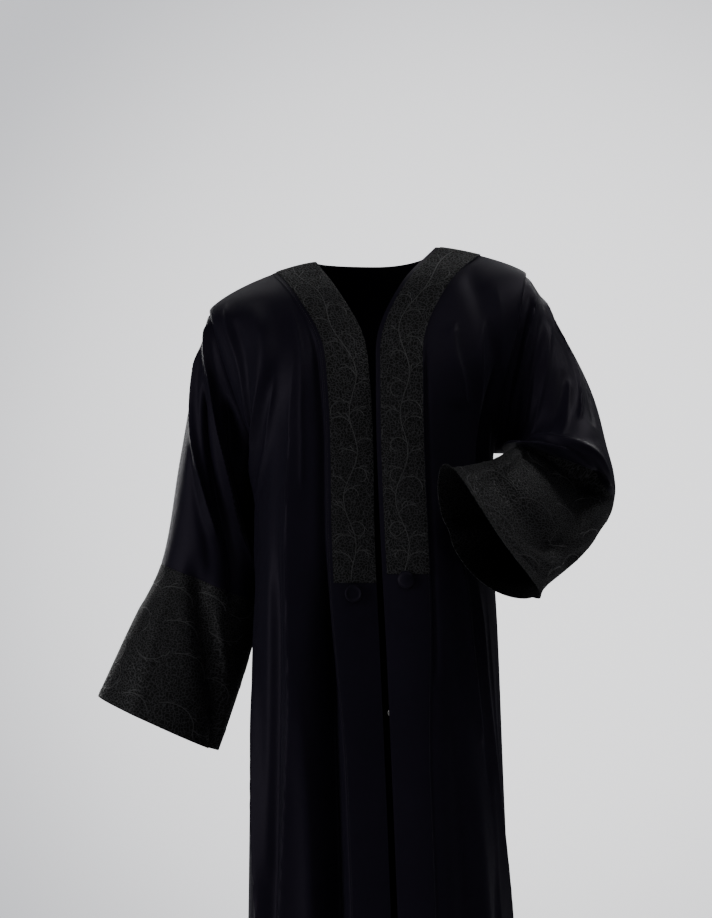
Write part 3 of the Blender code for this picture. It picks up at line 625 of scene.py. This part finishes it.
def back_surface(rows, columns):
    """The back's outer face, and how far across each point is from the centre."""
    right, right_rounds = back_half(FRONT_RIGHT, SLEEVE_RIGHT, rows, columns)
    left, left_rounds = back_half(FRONT_LEFT, SLEEVE_LEFT, rows, columns)
    grid = np.concatenate([right[:, :0:-1], left], axis=1)
    across = np.concatenate([-right_rounds[:, :0:-1], left_rounds], axis=1)
    inside = np.minimum(across - across[:, :1], across[:, -1:] - across)
    grid = softened(grid, rows, inside)
    lifts = fold_height(FOLDS_BACK, np.broadcast_to(rows[:, None], across.shape), across)
    lifts *= ease((across - across[:, :1]) / 0.030) * ease((across[:, -1:] - across) / 0.030)
    lifts += seam_dip(across - across[:, :1]) + seam_dip(across[:, -1:] - across)
    lifts += seam_dip(rows)[:, None]
    return grid + grid_normals(grid, 1.0) * lifts[..., None], across


# ---------- sleeve surfaces
def tube_normals(grid):
    """Outward facings of a tube whose columns close on themselves."""
    down = np.gradient(grid, axis=0)
    over = np.roll(grid, -1, axis=1) - np.roll(grid, 1, axis=1)
    normals = unit(np.cross(over, down))
    outward = grid - grid.mean(axis=1, keepdims=True)
    if np.sum(normals * outward) < 0.0:
        normals = -normals
    return normals


def sleeve_surface(sleeve, creases, seam, levels, count):
    """A sleeve's outer face from the armhole, over the cuff's seam, to its mouth."""
    turns = 2.0 * np.pi * np.arange(count) / count
    values = through([ring.down for ring in sleeve], [ring[1:] for ring in sleeve], levels)
    grid = np.array([loop(ring, turns) for ring in values.reshape(-1, 4, 3)])
    downs = np.broadcast_to(levels[:, None], grid.shape[:2])
    rounds = np.degrees(turns) * DEGREE + 0.0 * downs
    lifts = fold_height(creases, downs, rounds, DEGREE)
    lifts += fold_height(creases, downs, rounds - 360.0 * DEGREE, DEGREE)
    lifts *= ease((downs + 0.001) / 0.014)        # the sleeve's head stays on the armhole
    lifts += (seam_dip(levels) + seam_dip(levels - seam))[:, None]
    tucks = 1.0 - ease((downs + 0.001) / 0.011)[..., None]
    inward = np.linalg.svd(grid[0] - grid[0].mean(axis=0))[2][2]
    inward *= -TUCK * np.sign(inward[0] * grid[0, :, 0].mean())
    return grid + tube_normals(grid) * (lifts[..., None] - TUCK_DROP * tucks) + inward * tucks


# ---------- meshes
def placed(name, data):
    made = bpy.data.objects.new(name, data)
    bpy.context.scene.collection.objects.link(made)
    return made


def finished(mesh, work, fabric, smooth=lambda face: True):
    """Closes a mesh's edit: faces point outward and are smooth where smooth says so."""
    bmesh.ops.recalc_face_normals(work, faces=work.faces[:])
    for face in work.faces:
        face.smooth = smooth(face)
    work.to_mesh(mesh)
    work.free()
    mesh.materials.append(fabric)
    return placed(mesh.name, mesh)


def shell(name, outer, inner, flat, fabric, closed=False):
    """A thin wall between two matching grids. flat holds each point's place on the cut cloth,
    and a closed grid's last column joins its first."""
    rows, columns = outer.shape[:2]
    spans = columns if closed else columns - 1
    under = rows * columns
    row, column = np.meshgrid(np.arange(rows - 1), np.arange(spans), indexing="ij")
    a = (row * columns + column).ravel()
    b = (row * columns + (column + 1) % columns).ravel()
    c = b + columns
    d = a + columns
    faces = [np.stack([a, b, c, d], axis=1), np.stack([d, c, b, a], axis=1) + under]
    ends = np.arange(spans)
    after = (ends + 1) % columns
    last = (rows - 1) * columns
    faces.append(np.stack([ends, ends + under, after + under, after], axis=1))
    faces.append(np.stack([after, after + under, ends + under, ends], axis=1) + last)
    if not closed:
        starts = np.arange(rows - 1) * columns
        faces.append(np.stack([
            starts, starts + columns, starts + columns + under, starts + under], axis=1))
        starts = starts + columns - 1
        faces.append(np.stack([
            starts + columns, starts, starts + under, starts + columns + under], axis=1))
    faces = np.concatenate(faces)
    points = np.concatenate([outer.reshape(-1, 3), inner.reshape(-1, 3)])
    mesh = bpy.data.meshes.new(name)
    mesh.from_pydata(points.tolist(), [], faces.tolist())
    places = np.concatenate([flat.reshape(-1, 2)] * 2)
    layer = mesh.uv_layers.new(name="cut")
    corners = faces.ravel()
    spots = places[corners]
    if closed:
        width = flat[0, :, 0].max() * columns / (columns - 1.0)
        spots = spots.reshape(-1, 4, 2)
        wraps = (spots[:, :, 0].max(axis=1) - spots[:, :, 0].min(axis=1)) > width / 2.0
        low = spots[:, :, 0] < width / 2.0
        spots[:, :, 0] += np.where(wraps[:, None] & low, width, 0.0)
        spots = spots.reshape(-1, 2)
    layer.data.foreach_set("uv", spots.ravel())
    work = bmesh.new()
    work.from_mesh(mesh)
    bmesh.ops.recalc_face_normals(work, faces=work.faces[:])
    for edge in work.edges:
        edge.smooth = len(edge.link_faces) == 2 and edge.calc_face_angle(0.0) < radians(50)
    return finished(mesh, work, fabric)


def flat_places(rounds, rows):
    return np.stack([rounds, np.broadcast_to(rows[:, None], rounds.shape)], axis=-1)


# ---------- materials
def material(name):
    made = bpy.data.materials.new(name)
    made.use_nodes = True
    return made, made.node_tree, made.node_tree.nodes["Principled BSDF"]


def fill(tree, node, inputs):
    """Links each socket in inputs to the node, and sets each other value on the node."""
    for name, value in inputs.items():
        if isinstance(value, bpy.types.NodeSocket):
            tree.links.new(value, node.inputs[name])
        else:
            node.inputs[name].default_value = value


def add(tree, kind, inputs, output=0, **settings):
    """One output of a new node."""
    node = tree.nodes.new("ShaderNode" + kind)
    for name, value in settings.items():
        setattr(node, name, value)
    fill(tree, node, inputs)
    return node.outputs[output]


def maths(tree, kind, first, second):
    return add(tree, "Math", {0: first, 1: second}, operation=kind)


def shades(tree, factor, low, high, stops=(0.0, 1.0)):
    """A colour that runs from low to high between two stops of the factor."""
    node = tree.nodes.new("ShaderNodeValToRGB")
    for element, stop, colour in zip(node.color_ramp.elements, stops, (low, high)):
        element.position = stop
        element.color = (*colour, 1.0)
    fill(tree, node, {0: factor})
    return node.outputs[0]


def crepe_material(name, base, light, roughness):
    """A fine pebbled crepe: a twisted-yarn grain too small to see from across the room."""
    made, tree, shader = material(name)
    place = add(tree, "UVMap", {}, uv_map="cut")
    grain = add(tree, "TexNoise", {"Vector": place, "Scale": 1400.0, "Detail": 2.0})
    weave = add(tree, "TexWave", {
        "Vector": place, "Scale": 480.0, "Distortion": 3.0, "Detail": 1.0}, "Fac")
    patch = add(tree, "TexNoise", {"Vector": place, "Scale": 9.0, "Detail": 3.0})
    height = maths(tree, "ADD", grain, maths(tree, "MULTIPLY", weave, 0.5))
    mixed = maths(tree, "ADD", maths(tree, "MULTIPLY", patch, 0.6),
                  maths(tree, "MULTIPLY", grain, 0.4))
    fill(tree, shader, {
        "Normal": add(tree, "Bump", {"Height": height, "Strength": 0.22, "Distance": 0.0004}),
        "Base Color": shades(tree, mixed, base, light, (0.30, 0.75)),
        "Roughness": add(tree, "MapRange", {
            "Value": patch, "To Min": roughness - 0.05, "To Max": roughness + 0.06}),
        "Specular IOR Level": 0.16, "Specular Tint": (0.88, 0.77, 1.0, 1.0),
        "Sheen Weight": 0.03, "Sheen Roughness": 0.45, "Sheen Tint": (0.80, 0.80, 1.0, 1.0)})
    return made


def lace_material(name, net, thread):
    """Black corded lace: a dense ground of squiggled cord over fine net."""
    made, tree, shader = material(name)
    place = add(tree, "UVMap", {}, uv_map="cut")
    drift = add(tree, "TexNoise", {"Vector": place, "Scale": 170.0, "Detail": 1.0}, "Color")
    away = add(tree, "VectorMath", {0: drift, 1: (0.5, 0.5, 0.5)}, operation="SUBTRACT")
    wander = add(tree, "VectorMath", {0: away, 1: (0.0075, 0.0075, 0.0), 2: place},
                 operation="MULTIPLY_ADD")
    squiggle = add(tree, "TexVoronoi", {"Vector": wander, "Scale": 270.0}, "Distance",
                   voronoi_dimensions="2D", feature="DISTANCE_TO_EDGE")
    corded_part = add(tree, "MapRange", {
        "Value": squiggle, "From Min": 0.05, "From Max": 0.19, "To Min": 1.0, "To Max": 0.0},
        interpolation_type="SMOOTHSTEP")
    grain = add(tree, "TexNoise", {"Vector": place, "Scale": 1600.0, "Detail": 1.0})
    height = maths(tree, "ADD", corded_part, maths(tree, "MULTIPLY", grain, 0.25))
    fill(tree, shader, {
        "Normal": add(tree, "Bump", {"Height": height, "Strength": 0.7, "Distance": 0.0006}),
        "Base Color": add(tree, "Mix", {
            "Factor": corded_part, "A": (*net, 1.0), "B": (*thread, 1.0)}, "Result",
            data_type="RGBA"),
        "Roughness": add(tree, "MapRange", {
            "Value": corded_part, "To Min": 0.80, "To Max": 0.52}),
        "Specular IOR Level": 0.35})
    return made


def cord_material(name, base):
    """Twisted yarn."""
    made, tree, shader = material(name)
    place = add(tree, "TexCoord", {}, "Object")
    twist = add(tree, "TexNoise", {"Vector": place, "Scale": 2200.0})
    base = np.array(base)
    fill(tree, shader, {
        "Normal": add(tree, "Bump", {"Height": twist, "Strength": 0.4, "Distance": 0.0003}),
        "Base Color": shades(tree, twist, base * 0.75, base * 1.3),
        "Roughness": 0.48, "Sheen Weight": 0.2})
    return made


def metal_material(name):
    made, tree, shader = material(name)
    place = add(tree, "TexCoord", {}, "Object")
    wear = add(tree, "TexNoise", {"Vector": place, "Scale": 900.0})
    fill(tree, shader, {
        "Roughness": add(tree, "MapRange", {"Value": wear, "To Min": 0.20, "To Max": 0.38}),
        "Base Color": (0.66, 0.65, 0.64, 1.0), "Metallic": 1.0})
    return made


black = ((0.0085, 0.0072, 0.0142), (0.0110, 0.0094, 0.0182), 0.50)
crepe = crepe_material("black_crepe", *black)
band_crepe = crepe_material("black_crepe_band", *black)
lace = lace_material("black_lace", (0.0011, 0.0011, 0.0013), (0.038, 0.038, 0.042))
cord = cord_material("lace_cord", (0.040, 0.040, 0.043))
thread = cord_material("sewing_thread", (0.010, 0.009, 0.015))
covered = crepe_material(
    "covered_button", (0.0090, 0.0080, 0.0145), (0.0120, 0.0106, 0.0185), 0.46)
metal = metal_material("snap_metal")


# ---------- body pieces
def levels(stops, counts):
    """Levels that include every stop, evenly divided between them."""
    parts = [np.linspace(a, b, n, endpoint=False)
             for a, b, n in zip(stops[:-1], stops[1:], counts)]
    return np.concatenate(parts + [[stops[-1]]])


def dressed(piece, node, slot):
    """Says which solid a piece replaces and what it is made of."""
    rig.ride(piece, "root")
    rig.replaces(piece, node)
    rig.slot(piece, slot)
    return piece


def cloth(name, node, slot, outer, inner, flat, fabric, closed=False):
    sheets[name] = dressed(shell(name, outer, inner, flat, fabric, closed), node, slot)


def rim(distance, width):
    """How much of a rolled rim is left at a distance from its edge, 1 at the edge."""
    return np.exp(-(distance / width) ** 2)


def tube_places(tube, rings):
    """How far round a tube each column is, and the girth that its first rings have."""
    girth = np.mean([distances(np.vstack([ring, ring[:1]]))[-1] for ring in rings])
    around = np.linspace(0.0, girth, SLEEVE_COLUMNS + 1)[:-1]
    return np.broadcast_to(around, tube.shape[:2]), girth


sheets = {}
fronts = {}
for side, front, sleeve, folds, lace_end, sign in (
        ("right", FRONT_RIGHT, SLEEVE_RIGHT, FOLDS_RIGHT, LACE_END_RIGHT, 1.0),
        ("left", FRONT_LEFT, SLEEVE_LEFT, FOLDS_LEFT, LACE_END_LEFT, -1.0)):
    rows = levels((0.0, UNDERARM, lace_end, HEM), FRONT_ROWS)
    grid, rounds = front_surface(front, sleeve, folds, rows, FRONT_COLUMNS)
    out = grid_normals(grid, sign)
    fronts[side] = (rows, grid, rounds, out)
    cloth("crepe_front_" + side, "front_panel_" + side, "crepe",
          grid, grid - out * CREPE_WALL, flat_places(rounds, rows), crepe)

back_rows = levels((0.0, UNDERARM, HEM), BACK_ROWS)
back_grid, back_rounds = back_surface(back_rows, BACK_COLUMNS)
back_out = grid_normals(back_grid, 1.0)
cloth("crepe_back", "back_panel", "crepe",
      back_grid, back_grid - back_out * CREPE_WALL, flat_places(back_rounds, back_rows), crepe)

# bands and their lace: strips of the front's own face, moved out
bands = {}
strips = {}
for side, lace_end, first, last in (
        ("right", LACE_END_RIGHT, 0.0, FRONT_BAND - LACE_MARGIN),
        ("left", LACE_END_LEFT, LACE_MARGIN, FRONT_BAND)):
    rows, grid, rounds, out = fronts[side]
    strip = grid[:, :BAND_COLUMNS + 1]
    across = rounds[:, :BAND_COLUMNS + 1]
    normal = out[:, :BAND_COLUMNS + 1]
    rolled = rim(across[:, -1:] - across, 0.0016) + 0.6 * rim(across, 0.0012)
    low = strip + normal * BAND_GAP
    high = low + normal * (BAND_WALL * (1.0 - 0.45 * rolled))[..., None]
    bands[side] = (rows, high, normal)
    cloth("crepe_band_" + side, "front_band_" + side, "crepe",
          high, low, flat_places(across, rows), band_crepe)

    top = rows <= lace_end + 1e-6
    places = np.linspace(first, last, LACE_COLUMNS)
    across = np.broadcast_to(places, (top.sum(), LACE_COLUMNS))
    under = (grid + out * (2.0 * BAND_GAP + BAND_WALL))[top]
    low, normal = (
        np.array([np.stack([np.interp(places, marks, line[:, axis]) for axis in range(3)], 1)
                  for line, marks in zip(field, rounds[top])])
        for field in (under, out[top]))
    normal = unit(normal)
    rolled = rim(last - across, 0.0014) + rim(across - first, 0.0014)
    high = low + normal * (LACE_WALL * (1.0 - 0.35 * rolled))[..., None]
    cloth("lace_strip_" + side, "lace_band_" + side, "lace",
          high, low, flat_places(across, rows[top]), lace)
    strips[side] = (rows[top], places, high, normal)

# sleeves and cuffs
cuffs = {}
for side, sleeve, creases, seam, hem, sign in (
        ("right", SLEEVE_RIGHT, CREASES_RIGHT, CUFF_SEAM_RIGHT, SLEEVE_HEM_RIGHT, -1.0),
        ("left", SLEEVE_LEFT, CREASES_LEFT, CUFF_SEAM_LEFT, SLEEVE_HEM_LEFT, 1.0)):
    down = levels((0.0, seam, hem), (SLEEVE_ROWS, CUFF_ROWS))
    grid = sleeve_surface(sleeve, creases, seam, down, SLEEVE_COLUMNS)
    out = tube_normals(grid)
    upper = grid[:SLEEVE_ROWS + 1].copy()
    upper[0, :, 0] += sign * SEAM_HALF
    around, girth = tube_places(upper, grid[:SLEEVE_ROWS])
    cloth("crepe_sleeve_" + side, "sleeve_" + side, "crepe",
          upper, upper - out[:SLEEVE_ROWS + 1] * CREPE_WALL,
          flat_places(around, down[:SLEEVE_ROWS + 1]), crepe, closed=True)

    lower = grid[SLEEVE_ROWS:].copy()
    lower[0] += unit(grid[SLEEVE_ROWS + 1] - grid[SLEEVE_ROWS]) * SEAM_HALF * 2.0
    around, girth = tube_places(lower, lower)
    cloth("lace_sleeve_end_" + side, "lace_cuff_" + side, "lace",
          lower, lower - out[SLEEVE_ROWS:] * LACE_WALL,
          flat_places(around, down[SLEEVE_ROWS:]), lace, closed=True)
    cuffs[side] = (down[SLEEVE_ROWS:], around[0], lower, out[SLEEVE_ROWS:], girth)

# ---------- lace vines and stitches
def curl(start, heading, length, wide, tight, turn):
    """A tendril on flat cloth: it bends at radius wide, then ever tighter, turn +1 or -1."""
    steps = max(int(length / CORD_STEP), 2)
    points = [np.array(start, float)]
    for index in range(steps):
        share = index / steps
        radius = wide * (tight / wide) ** (share ** 1.3)
        heading += turn * CORD_STEP / radius
        points.append(points[-1] + CORD_STEP * np.array([np.cos(heading), np.sin(heading)]))
    return np.array(points)


def within(path, low, high):
    """The start of a path, up to where it leaves the cloth between two corners."""
    outside = ((path < low) | (path > high)).any(axis=1)
    return path[:int(np.argmax(outside))] if outside.any() else path


def bough(start, heading, length, wide, turn, number):
    """A long open curve with short ribs on its hollow side, and a hooked end."""
    main = curl(start, heading, length, wide, wide * 0.45, turn)
    paths = [main]
    ribs = 2 + number % 3
    for rib in range(ribs):
        place = int(len(main) * (0.22 + 0.24 * rib + 0.03 * np.sin(number * 1.7 + rib)))
        if place > len(main) - 4:
            continue
        run = main[place + 1] - main[place]
        leaving = np.arctan2(run[1], run[0]) - turn * (0.85 + 0.2 * np.sin(number + rib * 2.0))
        reach = 0.010 + 0.004 * np.sin(number * 2.1 + rib)
        paths.append(curl(main[place], leaving, reach, 0.012, 0.005, turn))
    return paths


def band_vine(first, last, length, lean):
    """Stem and boughs of one lace band, as (across, down) paths."""
    downs = np.arange(0.004, length - 0.002, CORD_STEP)
    middle = (first + last) / 2.0
    stem = middle + lean * (0.0065 * np.sin(downs * 61.0 + 0.6) + 0.005 * np.sin(downs * 23.0))
    paths = [np.stack([stem, downs], axis=1)]
    down = 0.010
    for number in range(40):
        down += 0.0165 + 0.0050 * np.sin(number * 2.4)
        if down > length - 0.012:
            break
        side = 1.0 if number % 2 else -1.0
        place = int(np.argmin(np.abs(downs - down)))
        heading = -np.pi / 2.0 + side * (0.55 + 0.35 * np.sin(number * 1.3))
        wide = 0.017 + 0.007 * np.sin(number * 3.1)
        reach = 0.036 + 0.010 * np.sin(number * 1.9 + 1.0)
        paths += bough((stem[place], downs[place]), heading, reach, wide, side, number)
    low = (first + 0.0012, 0.001)
    high = (last - 0.0012, length - 0.0015)
    return [within(path, low, high) for path in paths]


def cuff_vine(girth, depth):
    """Rows of overlapping boughs round a cuff, as (around, down) paths."""
    paths = []
    for row, level in enumerate((0.13, 0.36, 0.60, 0.90)):
        count = (9, 8, 9, 10)[row]
        for number in range(count):
            seed = number + 11 * row
            start = (girth * (number + 0.35 * (row % 2)) / count,
                     depth * (level + 0.035 * np.sin(seed * 2.3)))
            turn = 1.0 if (row + number) % 3 else -1.0
            heading = -turn * (0.55 + 0.18 * np.sin(seed * 1.7))
            wide = 0.034 + 0.010 * np.sin(seed * 1.1)
            reach = 0.056 + 0.012 * np.sin(seed * 2.9)
            paths += bough(start, heading, reach, wide, turn, seed)
    return [within(path, (-1.0, 0.003), (1.0, depth - 0.0025)) for path in paths]


def lying_on(path, columns, rows, grid, normal, wrap=0.0):
    """Points and facings of a flat path once the cloth carries it."""
    over = path[:, 0] % wrap if wrap else path[:, 0]
    if wrap:
        columns = np.append(columns, wrap)
        grid = np.concatenate([grid, grid[:, :1]], axis=1)
        normal = np.concatenate([normal, normal[:, :1]], axis=1)
    column = np.interp(over, columns, np.arange(len(columns)))
    row = np.interp(path[:, 1], rows, np.arange(len(rows)))
    i = np.minimum(row.astype(int), len(rows) - 2)
    j = np.minimum(column.astype(int), len(columns) - 2)
    u = (column - j)[:, None]
    v = (row - i)[:, None]
    mixed = []
    for field in (grid, normal):
        mixed.append(field[i, j] * (1 - u) * (1 - v) + field[i, j + 1] * u * (1 - v)
                     + field[i + 1, j] * (1 - u) * v + field[i + 1, j + 1] * u * v)
    return mixed[0], unit(mixed[1])


def corded(name, lines, half, height, yarn, sink=0.00005):
    """Round-topped cords along (points, facings) lines, joined in one mesh."""
    profile = np.array(((-1.0, 0.0), (-0.72, 0.68), (0.0, 1.0), (0.72, 0.68), (1.0, 0.0)))
    corners = len(profile)
    corner = np.arange(corners)
    after = (corner + 1) % corners
    points = []
    faces = []
    total = 0
    for line, facing in lines:
        count = len(line)
        if count < 3:
            continue
        run = unit(np.gradient(line, axis=0))
        over = unit(np.cross(facing, run))
        ends = np.minimum(np.arange(count), np.arange(count)[::-1]) / 3.0
        slim = 0.45 + 0.55 * ease(ends)
        slim = slim[:, None, None]
        rings = (line[:, None] + over[:, None] * (profile[None, :, :1] * half * slim)
                 + facing[:, None] * (profile[None, :, 1:] * height * slim - sink))
        points.append(rings.reshape(-1, 3))
        start = total + np.arange(count - 1)[:, None] * corners
        quads = np.stack([start + corner, start + after, start + after + corners,
                          start + corner + corners], axis=-1)
        faces.extend(quads.reshape(-1, 4).tolist())
        faces.append((total + corner[::-1]).tolist())
        total += count * corners
        faces.append((total - corners + corner).tolist())
    mesh = bpy.data.meshes.new(name)
    mesh.from_pydata(np.concatenate(points).tolist(), [], faces)
    work = bmesh.new()
    work.from_mesh(mesh)
    return finished(mesh, work, yarn, lambda face: len(face.verts) == 4)


def stitched(name, at, start, end, columns, rows, grid, normal):
    """A row of short raised stitches. at: the flat path's points for the lengths along it."""
    lines = [lying_on(at(begin + STITCH * np.array((0.0, 0.5, 1.0))), columns, rows, grid, normal)
             for begin in np.arange(start, end - STITCH, STITCH_PITCH)]
    return corded(name, lines, 0.00028, 0.00026, thread)


extras = {}
for side, first, last, lean in (
        ("right", 0.0, FRONT_BAND - LACE_MARGIN, 1.0), ("left", LACE_MARGIN, FRONT_BAND, -1.0)):
    rows, places, high, normal = strips[side]
    lines = [lying_on(path, places, rows, high, normal)
             for path in band_vine(first, last, rows[-1], lean) if len(path) > 3]
    piece = corded("lace_vine_band_" + side, lines, 0.00055, 0.00050, cord)
    extras["lace_strip_" + side] = [dressed(piece, "lace_band_" + side, "lace")]
    depth, turns, lower, out, girth = cuffs[side]
    lines = [lying_on(path + (0.0, depth[0]), turns, depth, lower, out, girth)
             for path in cuff_vine(girth, depth[-1] - depth[0]) if len(path) > 3]
    piece = corded("lace_vine_cuff_" + side, lines, 0.00060, 0.00050, cord)
    extras["lace_sleeve_end_" + side] = [dressed(piece, "lace_cuff_" + side, "lace")]

for side in ("right", "left"):
    rows, high, normal = bands[side]
    piece = stitched("stitches_band_" + side,
                     lambda steps: np.stack([1.0 - 0.002 / band_width(steps), steps], axis=1),
                     STITCH_MARGIN, HEM - STITCH_MARGIN,
                     np.linspace(0.0, 1.0, BAND_COLUMNS + 1), rows, high, normal)
    extras["crepe_band_" + side] = [dressed(piece, "front_band_" + side, "crepe")]
hems = [("front_" + side, "front_panel_" + side, *fronts[side], FRONT_BAND_FOOT)
        for side in ("right", "left")]
hems.append(("back", "back_panel", back_rows, back_grid, back_rounds, back_out, 0.0))
for name, node, rows, grid, rounds, out, first in hems:
    places = np.abs(rounds[-1] - rounds[-1, 0])
    piece = stitched("stitches_hem_" + name,
                     lambda steps: np.stack([steps, 0.0 * steps + HEM - HEM_TURN], axis=1),
                     first + STITCH_MARGIN, places[-1] - STITCH_MARGIN, places, rows, grid, out)
    extras["crepe_" + name] = [dressed(piece, node, "crepe")]

# ---------- buttons and snap
# turned profiles, from the centre of the underside to the centre of the face: radius and
# height, in millimetres
DISHED = ((0, 0), (7, 0), (9.8, 0.8), (10.8, 1.8), (11, 2.7), (10.7, 3.6), (9.8, 4.2),
          (8.8, 4.2), (8, 3.7), (7.1, 3.2), (5, 3.1), (2.5, 3.2), (0, 3.3))
DOMED = ((0, 0), (7, 0), (9.8, 0.7), (10.8, 1.5), (11, 2.3), (10.6, 3.2), (9.2, 4.1),
         (7.2, 4.8), (4.5, 5.3), (2, 5.5), (0, 5.6))
SOCKET = ((0, 0), (4, 0), (4.8, 0.3), (4.8, 0.7), (4.2, 1), (3.4, 1), (3, 1.5), (2.1, 1.6),
          (1.6, 1.3), (1.2, 0.6), (0, 0.6))
STUD = ((0, 0), (4, 0), (4.8, 0.3), (4.8, 0.7), (4, 1), (2.4, 1.1), (1.4, 1.3), (1.2, 1.9),
        (1.3, 2.3), (0.8, 2.6), (0, 2.6))


def turned(name, profile, centre, facing, stuff, sides=64):
    """A profile turned round the line through centre that points along facing."""
    turn_to = Vector(facing).normalized().to_track_quat("Z", "Y").to_matrix().to_4x4()
    place = Matrix.Translation(Vector(centre)) @ turn_to
    work = bmesh.new()
    rings = []
    for radius, height in profile:
        turns = 2.0 * np.pi * np.arange(sides if radius else 1) / sides
        rings.append([
            work.verts.new(place @ Vector((
                radius * MM * np.cos(turn), radius * MM * np.sin(turn), height * MM)))
            for turn in turns])
    for lower, upper in zip(rings[:-1], rings[1:]):
        for side in range(sides):
            after = (side + 1) % sides
            if len(lower) == 1:
                work.faces.new((lower[0], upper[side], upper[after]))
            elif len(upper) == 1:
                work.faces.new((lower[side], lower[after], upper[0]))
            else:
                work.faces.new((lower[side], lower[after], upper[after], upper[side]))
    layer = work.loops.layers.uv.new("cut")
    back = place.inverted()
    for face in work.faces:
        for corner in face.loops:
            corner[layer].uv = (back @ corner.vert.co).xy
    return finished(bpy.data.meshes.new(name), work, stuff)


def on_front(side, down, across):
    """A point of a front's outer face and the way it faces there."""
    rows, grid, rounds, out = fronts[side]
    row = int(np.argmin(np.abs(rows - down)))
    column = int(np.argmin(np.abs(rounds[row] - across)))
    place = along(grid[row], [across])[0]
    return place, unit(out[row, column])


for side, down, profile in (("right", 0.4416, DISHED), ("left", 0.4245, DOMED)):
    place, facing = on_front(side, down, FRONT_BAND / 2.0)
    low = place + facing * BUTTON_LIFT
    piece = turned("covered_button_" + side, profile, low, facing, covered)
    dressed(piece, "button_" + side, "covered_button")

for side, node, across, profile in (
        ("left", "snap_socket", 0.0026, SOCKET), ("right", "snap_stud", 0.0085, STUD)):
    place, facing = on_front(side, SNAP_DOWN, across)
    piece = turned(node + "_metal", profile, place - facing * SNAP_DEPTH, -facing, metal, 48)
    dressed(piece, node, "snap_metal")

# ---------- declared cloth
for name, width, length, area, under in (
        ("crepe_front_right", 0.36, 1.43, 0.40, []),
        ("crepe_front_left", 0.36, 1.43, 0.40, []),
        ("crepe_back", 0.66, 1.43, 0.72, []),
        ("crepe_band_right", 0.060, 1.43, None, ["crepe_front_right"]),
        ("crepe_band_left", 0.060, 1.43, None, ["crepe_front_left"]),
        ("lace_strip_right", 0.054, 0.430, None, ["crepe_band_right"]),
        ("lace_strip_left", 0.054, 0.420, None, ["crepe_band_left"]),
        ("crepe_sleeve_right", 0.50, 0.32, 0.14, []),
        ("crepe_sleeve_left", 0.50, 0.32, 0.14, []),
        ("lace_sleeve_end_right", 0.46, 0.20, 0.085, []),
        ("lace_sleeve_end_left", 0.46, 0.20, 0.085, [])):
    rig.sheet(sheets[name], flat=(width, length), held="hung", rests_on=under, area=area,
             with_pieces=extras.get(name, []))

# ---------- stage
floor_mesh = bpy.data.meshes.new("floor")
floor_mesh.from_pydata([(x * FLOOR_HALF, y * FLOOR_HALF, FLOOR)
                        for x, y in ((-1, -1), (1, -1), (1, 1), (-1, 1))], [], [(0, 1, 2, 3)])
floor = placed("floor", floor_mesh)
pale, tree, shader = material("floor_pale")
# the floor is lit pale to the eye, and stays dim as a source of light on the cloth
eye = add(tree, "LightPath", {}, "Is Camera Ray")
fill(tree, shader, {
    "Base Color": (0.70, 0.70, 0.72, 1.0), "Roughness": 0.9, "Emission Color": PALE,
    "Emission Strength": maths(tree, "MULTIPLY", eye, FLOOR_GLOW)})
floor_mesh.materials.append(pale)
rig.stage(floor)

# The backdrop is pale where it is seen, and dim as a source of light, as in a large dark room
# with one lit wall. The softboxes do the lighting.
world = bpy.data.worlds.new("studio")
bpy.context.scene.world = world
world.use_nodes = True
tree = world.node_tree
seen = tree.nodes["Background"]
aim = add(tree, "VectorMath", {
    0: add(tree, "TexCoord", {}, "Generated"),
    1: Vector((0.060, 1.0, -0.020)).normalized()}, "Value", operation="DOT_PRODUCT")
spread = add(tree, "MapRange", {"Value": aim, "From Min": 0.968, "From Max": 1.0},
             interpolation_type="SMOOTHSTEP")
fill(tree, seen, {"Color": add(tree, "Mix", {
    "Factor": spread, "A": PALE, "B": (1.80, 1.80, 1.84, 1.0)}, "Result", data_type="RGBA")})
room = add(tree, "Background", {"Color": (0.95, 0.95, 1.0, 1.0), "Strength": 0.04})
blend = add(tree, "MixShader", {
    0: add(tree, "LightPath", {}, "Is Camera Ray"), 1: room, 2: seen.outputs[0]})
fill(tree, tree.nodes["World Output"], {"Surface": blend})


def softbox(name, place, aim, size, power):
    light = bpy.data.lights.new(name, "AREA")
    light.shape = "RECTANGLE"
    light.size, light.size_y = size
    light.energy = power
    made = placed(name, light)
    made.location = place
    made.rotation_euler = (Vector(aim) - Vector(place)).to_track_quat("-Z", "Y").to_euler()


softbox("rim_right", (1.5, 2.7, 1.7), (0.15, 0.0, -0.30), (0.5, 1.4), 18.0)
softbox("high_right", (2.1, 0.3, 2.1), (0.15, 0.0, -0.4), (0.5, 0.8), 20.0)
softbox("back_left", (-2.0, 3.0, 0.3), (0.0, 0.0, -0.7), (1.0, 1.8), 26.0)
softbox("high_back", (-0.5, 2.6, 2.6), (0.0, 0.0, -0.7), (1.6, 1.6), 16.0)
softbox("key_left", (-3.0, -1.4, -0.6), (0.0, 0.0, -0.8), (1.1, 1.6), 17.0)
softbox("high_left", (-2.8, -1.6, 0.9), (0.0, 0.0, -0.4), (1.1, 1.4), 13.0)
softbox("top_front", (0.4, -1.8, 1.4), (0.05, 0.0, -0.2), (0.8, 0.8), 5.0)

camera = bpy.data.cameras.new("photo_camera")
camera.lens = 107.8
camera_object = placed("photo_camera", camera)
camera_object.location = (-0.026, -3.6, -0.267)
camera_object.rotation_euler = (radians(90.0), 0.0, 0.0)
bpy.context.scene.camera = camera_object

with open("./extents.json", "w") as record:
    json.dump({"cad": [list(map(float, corner)) for corner in cad_box],
               "visual": [list(map(float, corner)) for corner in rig.bounds()]}, record)
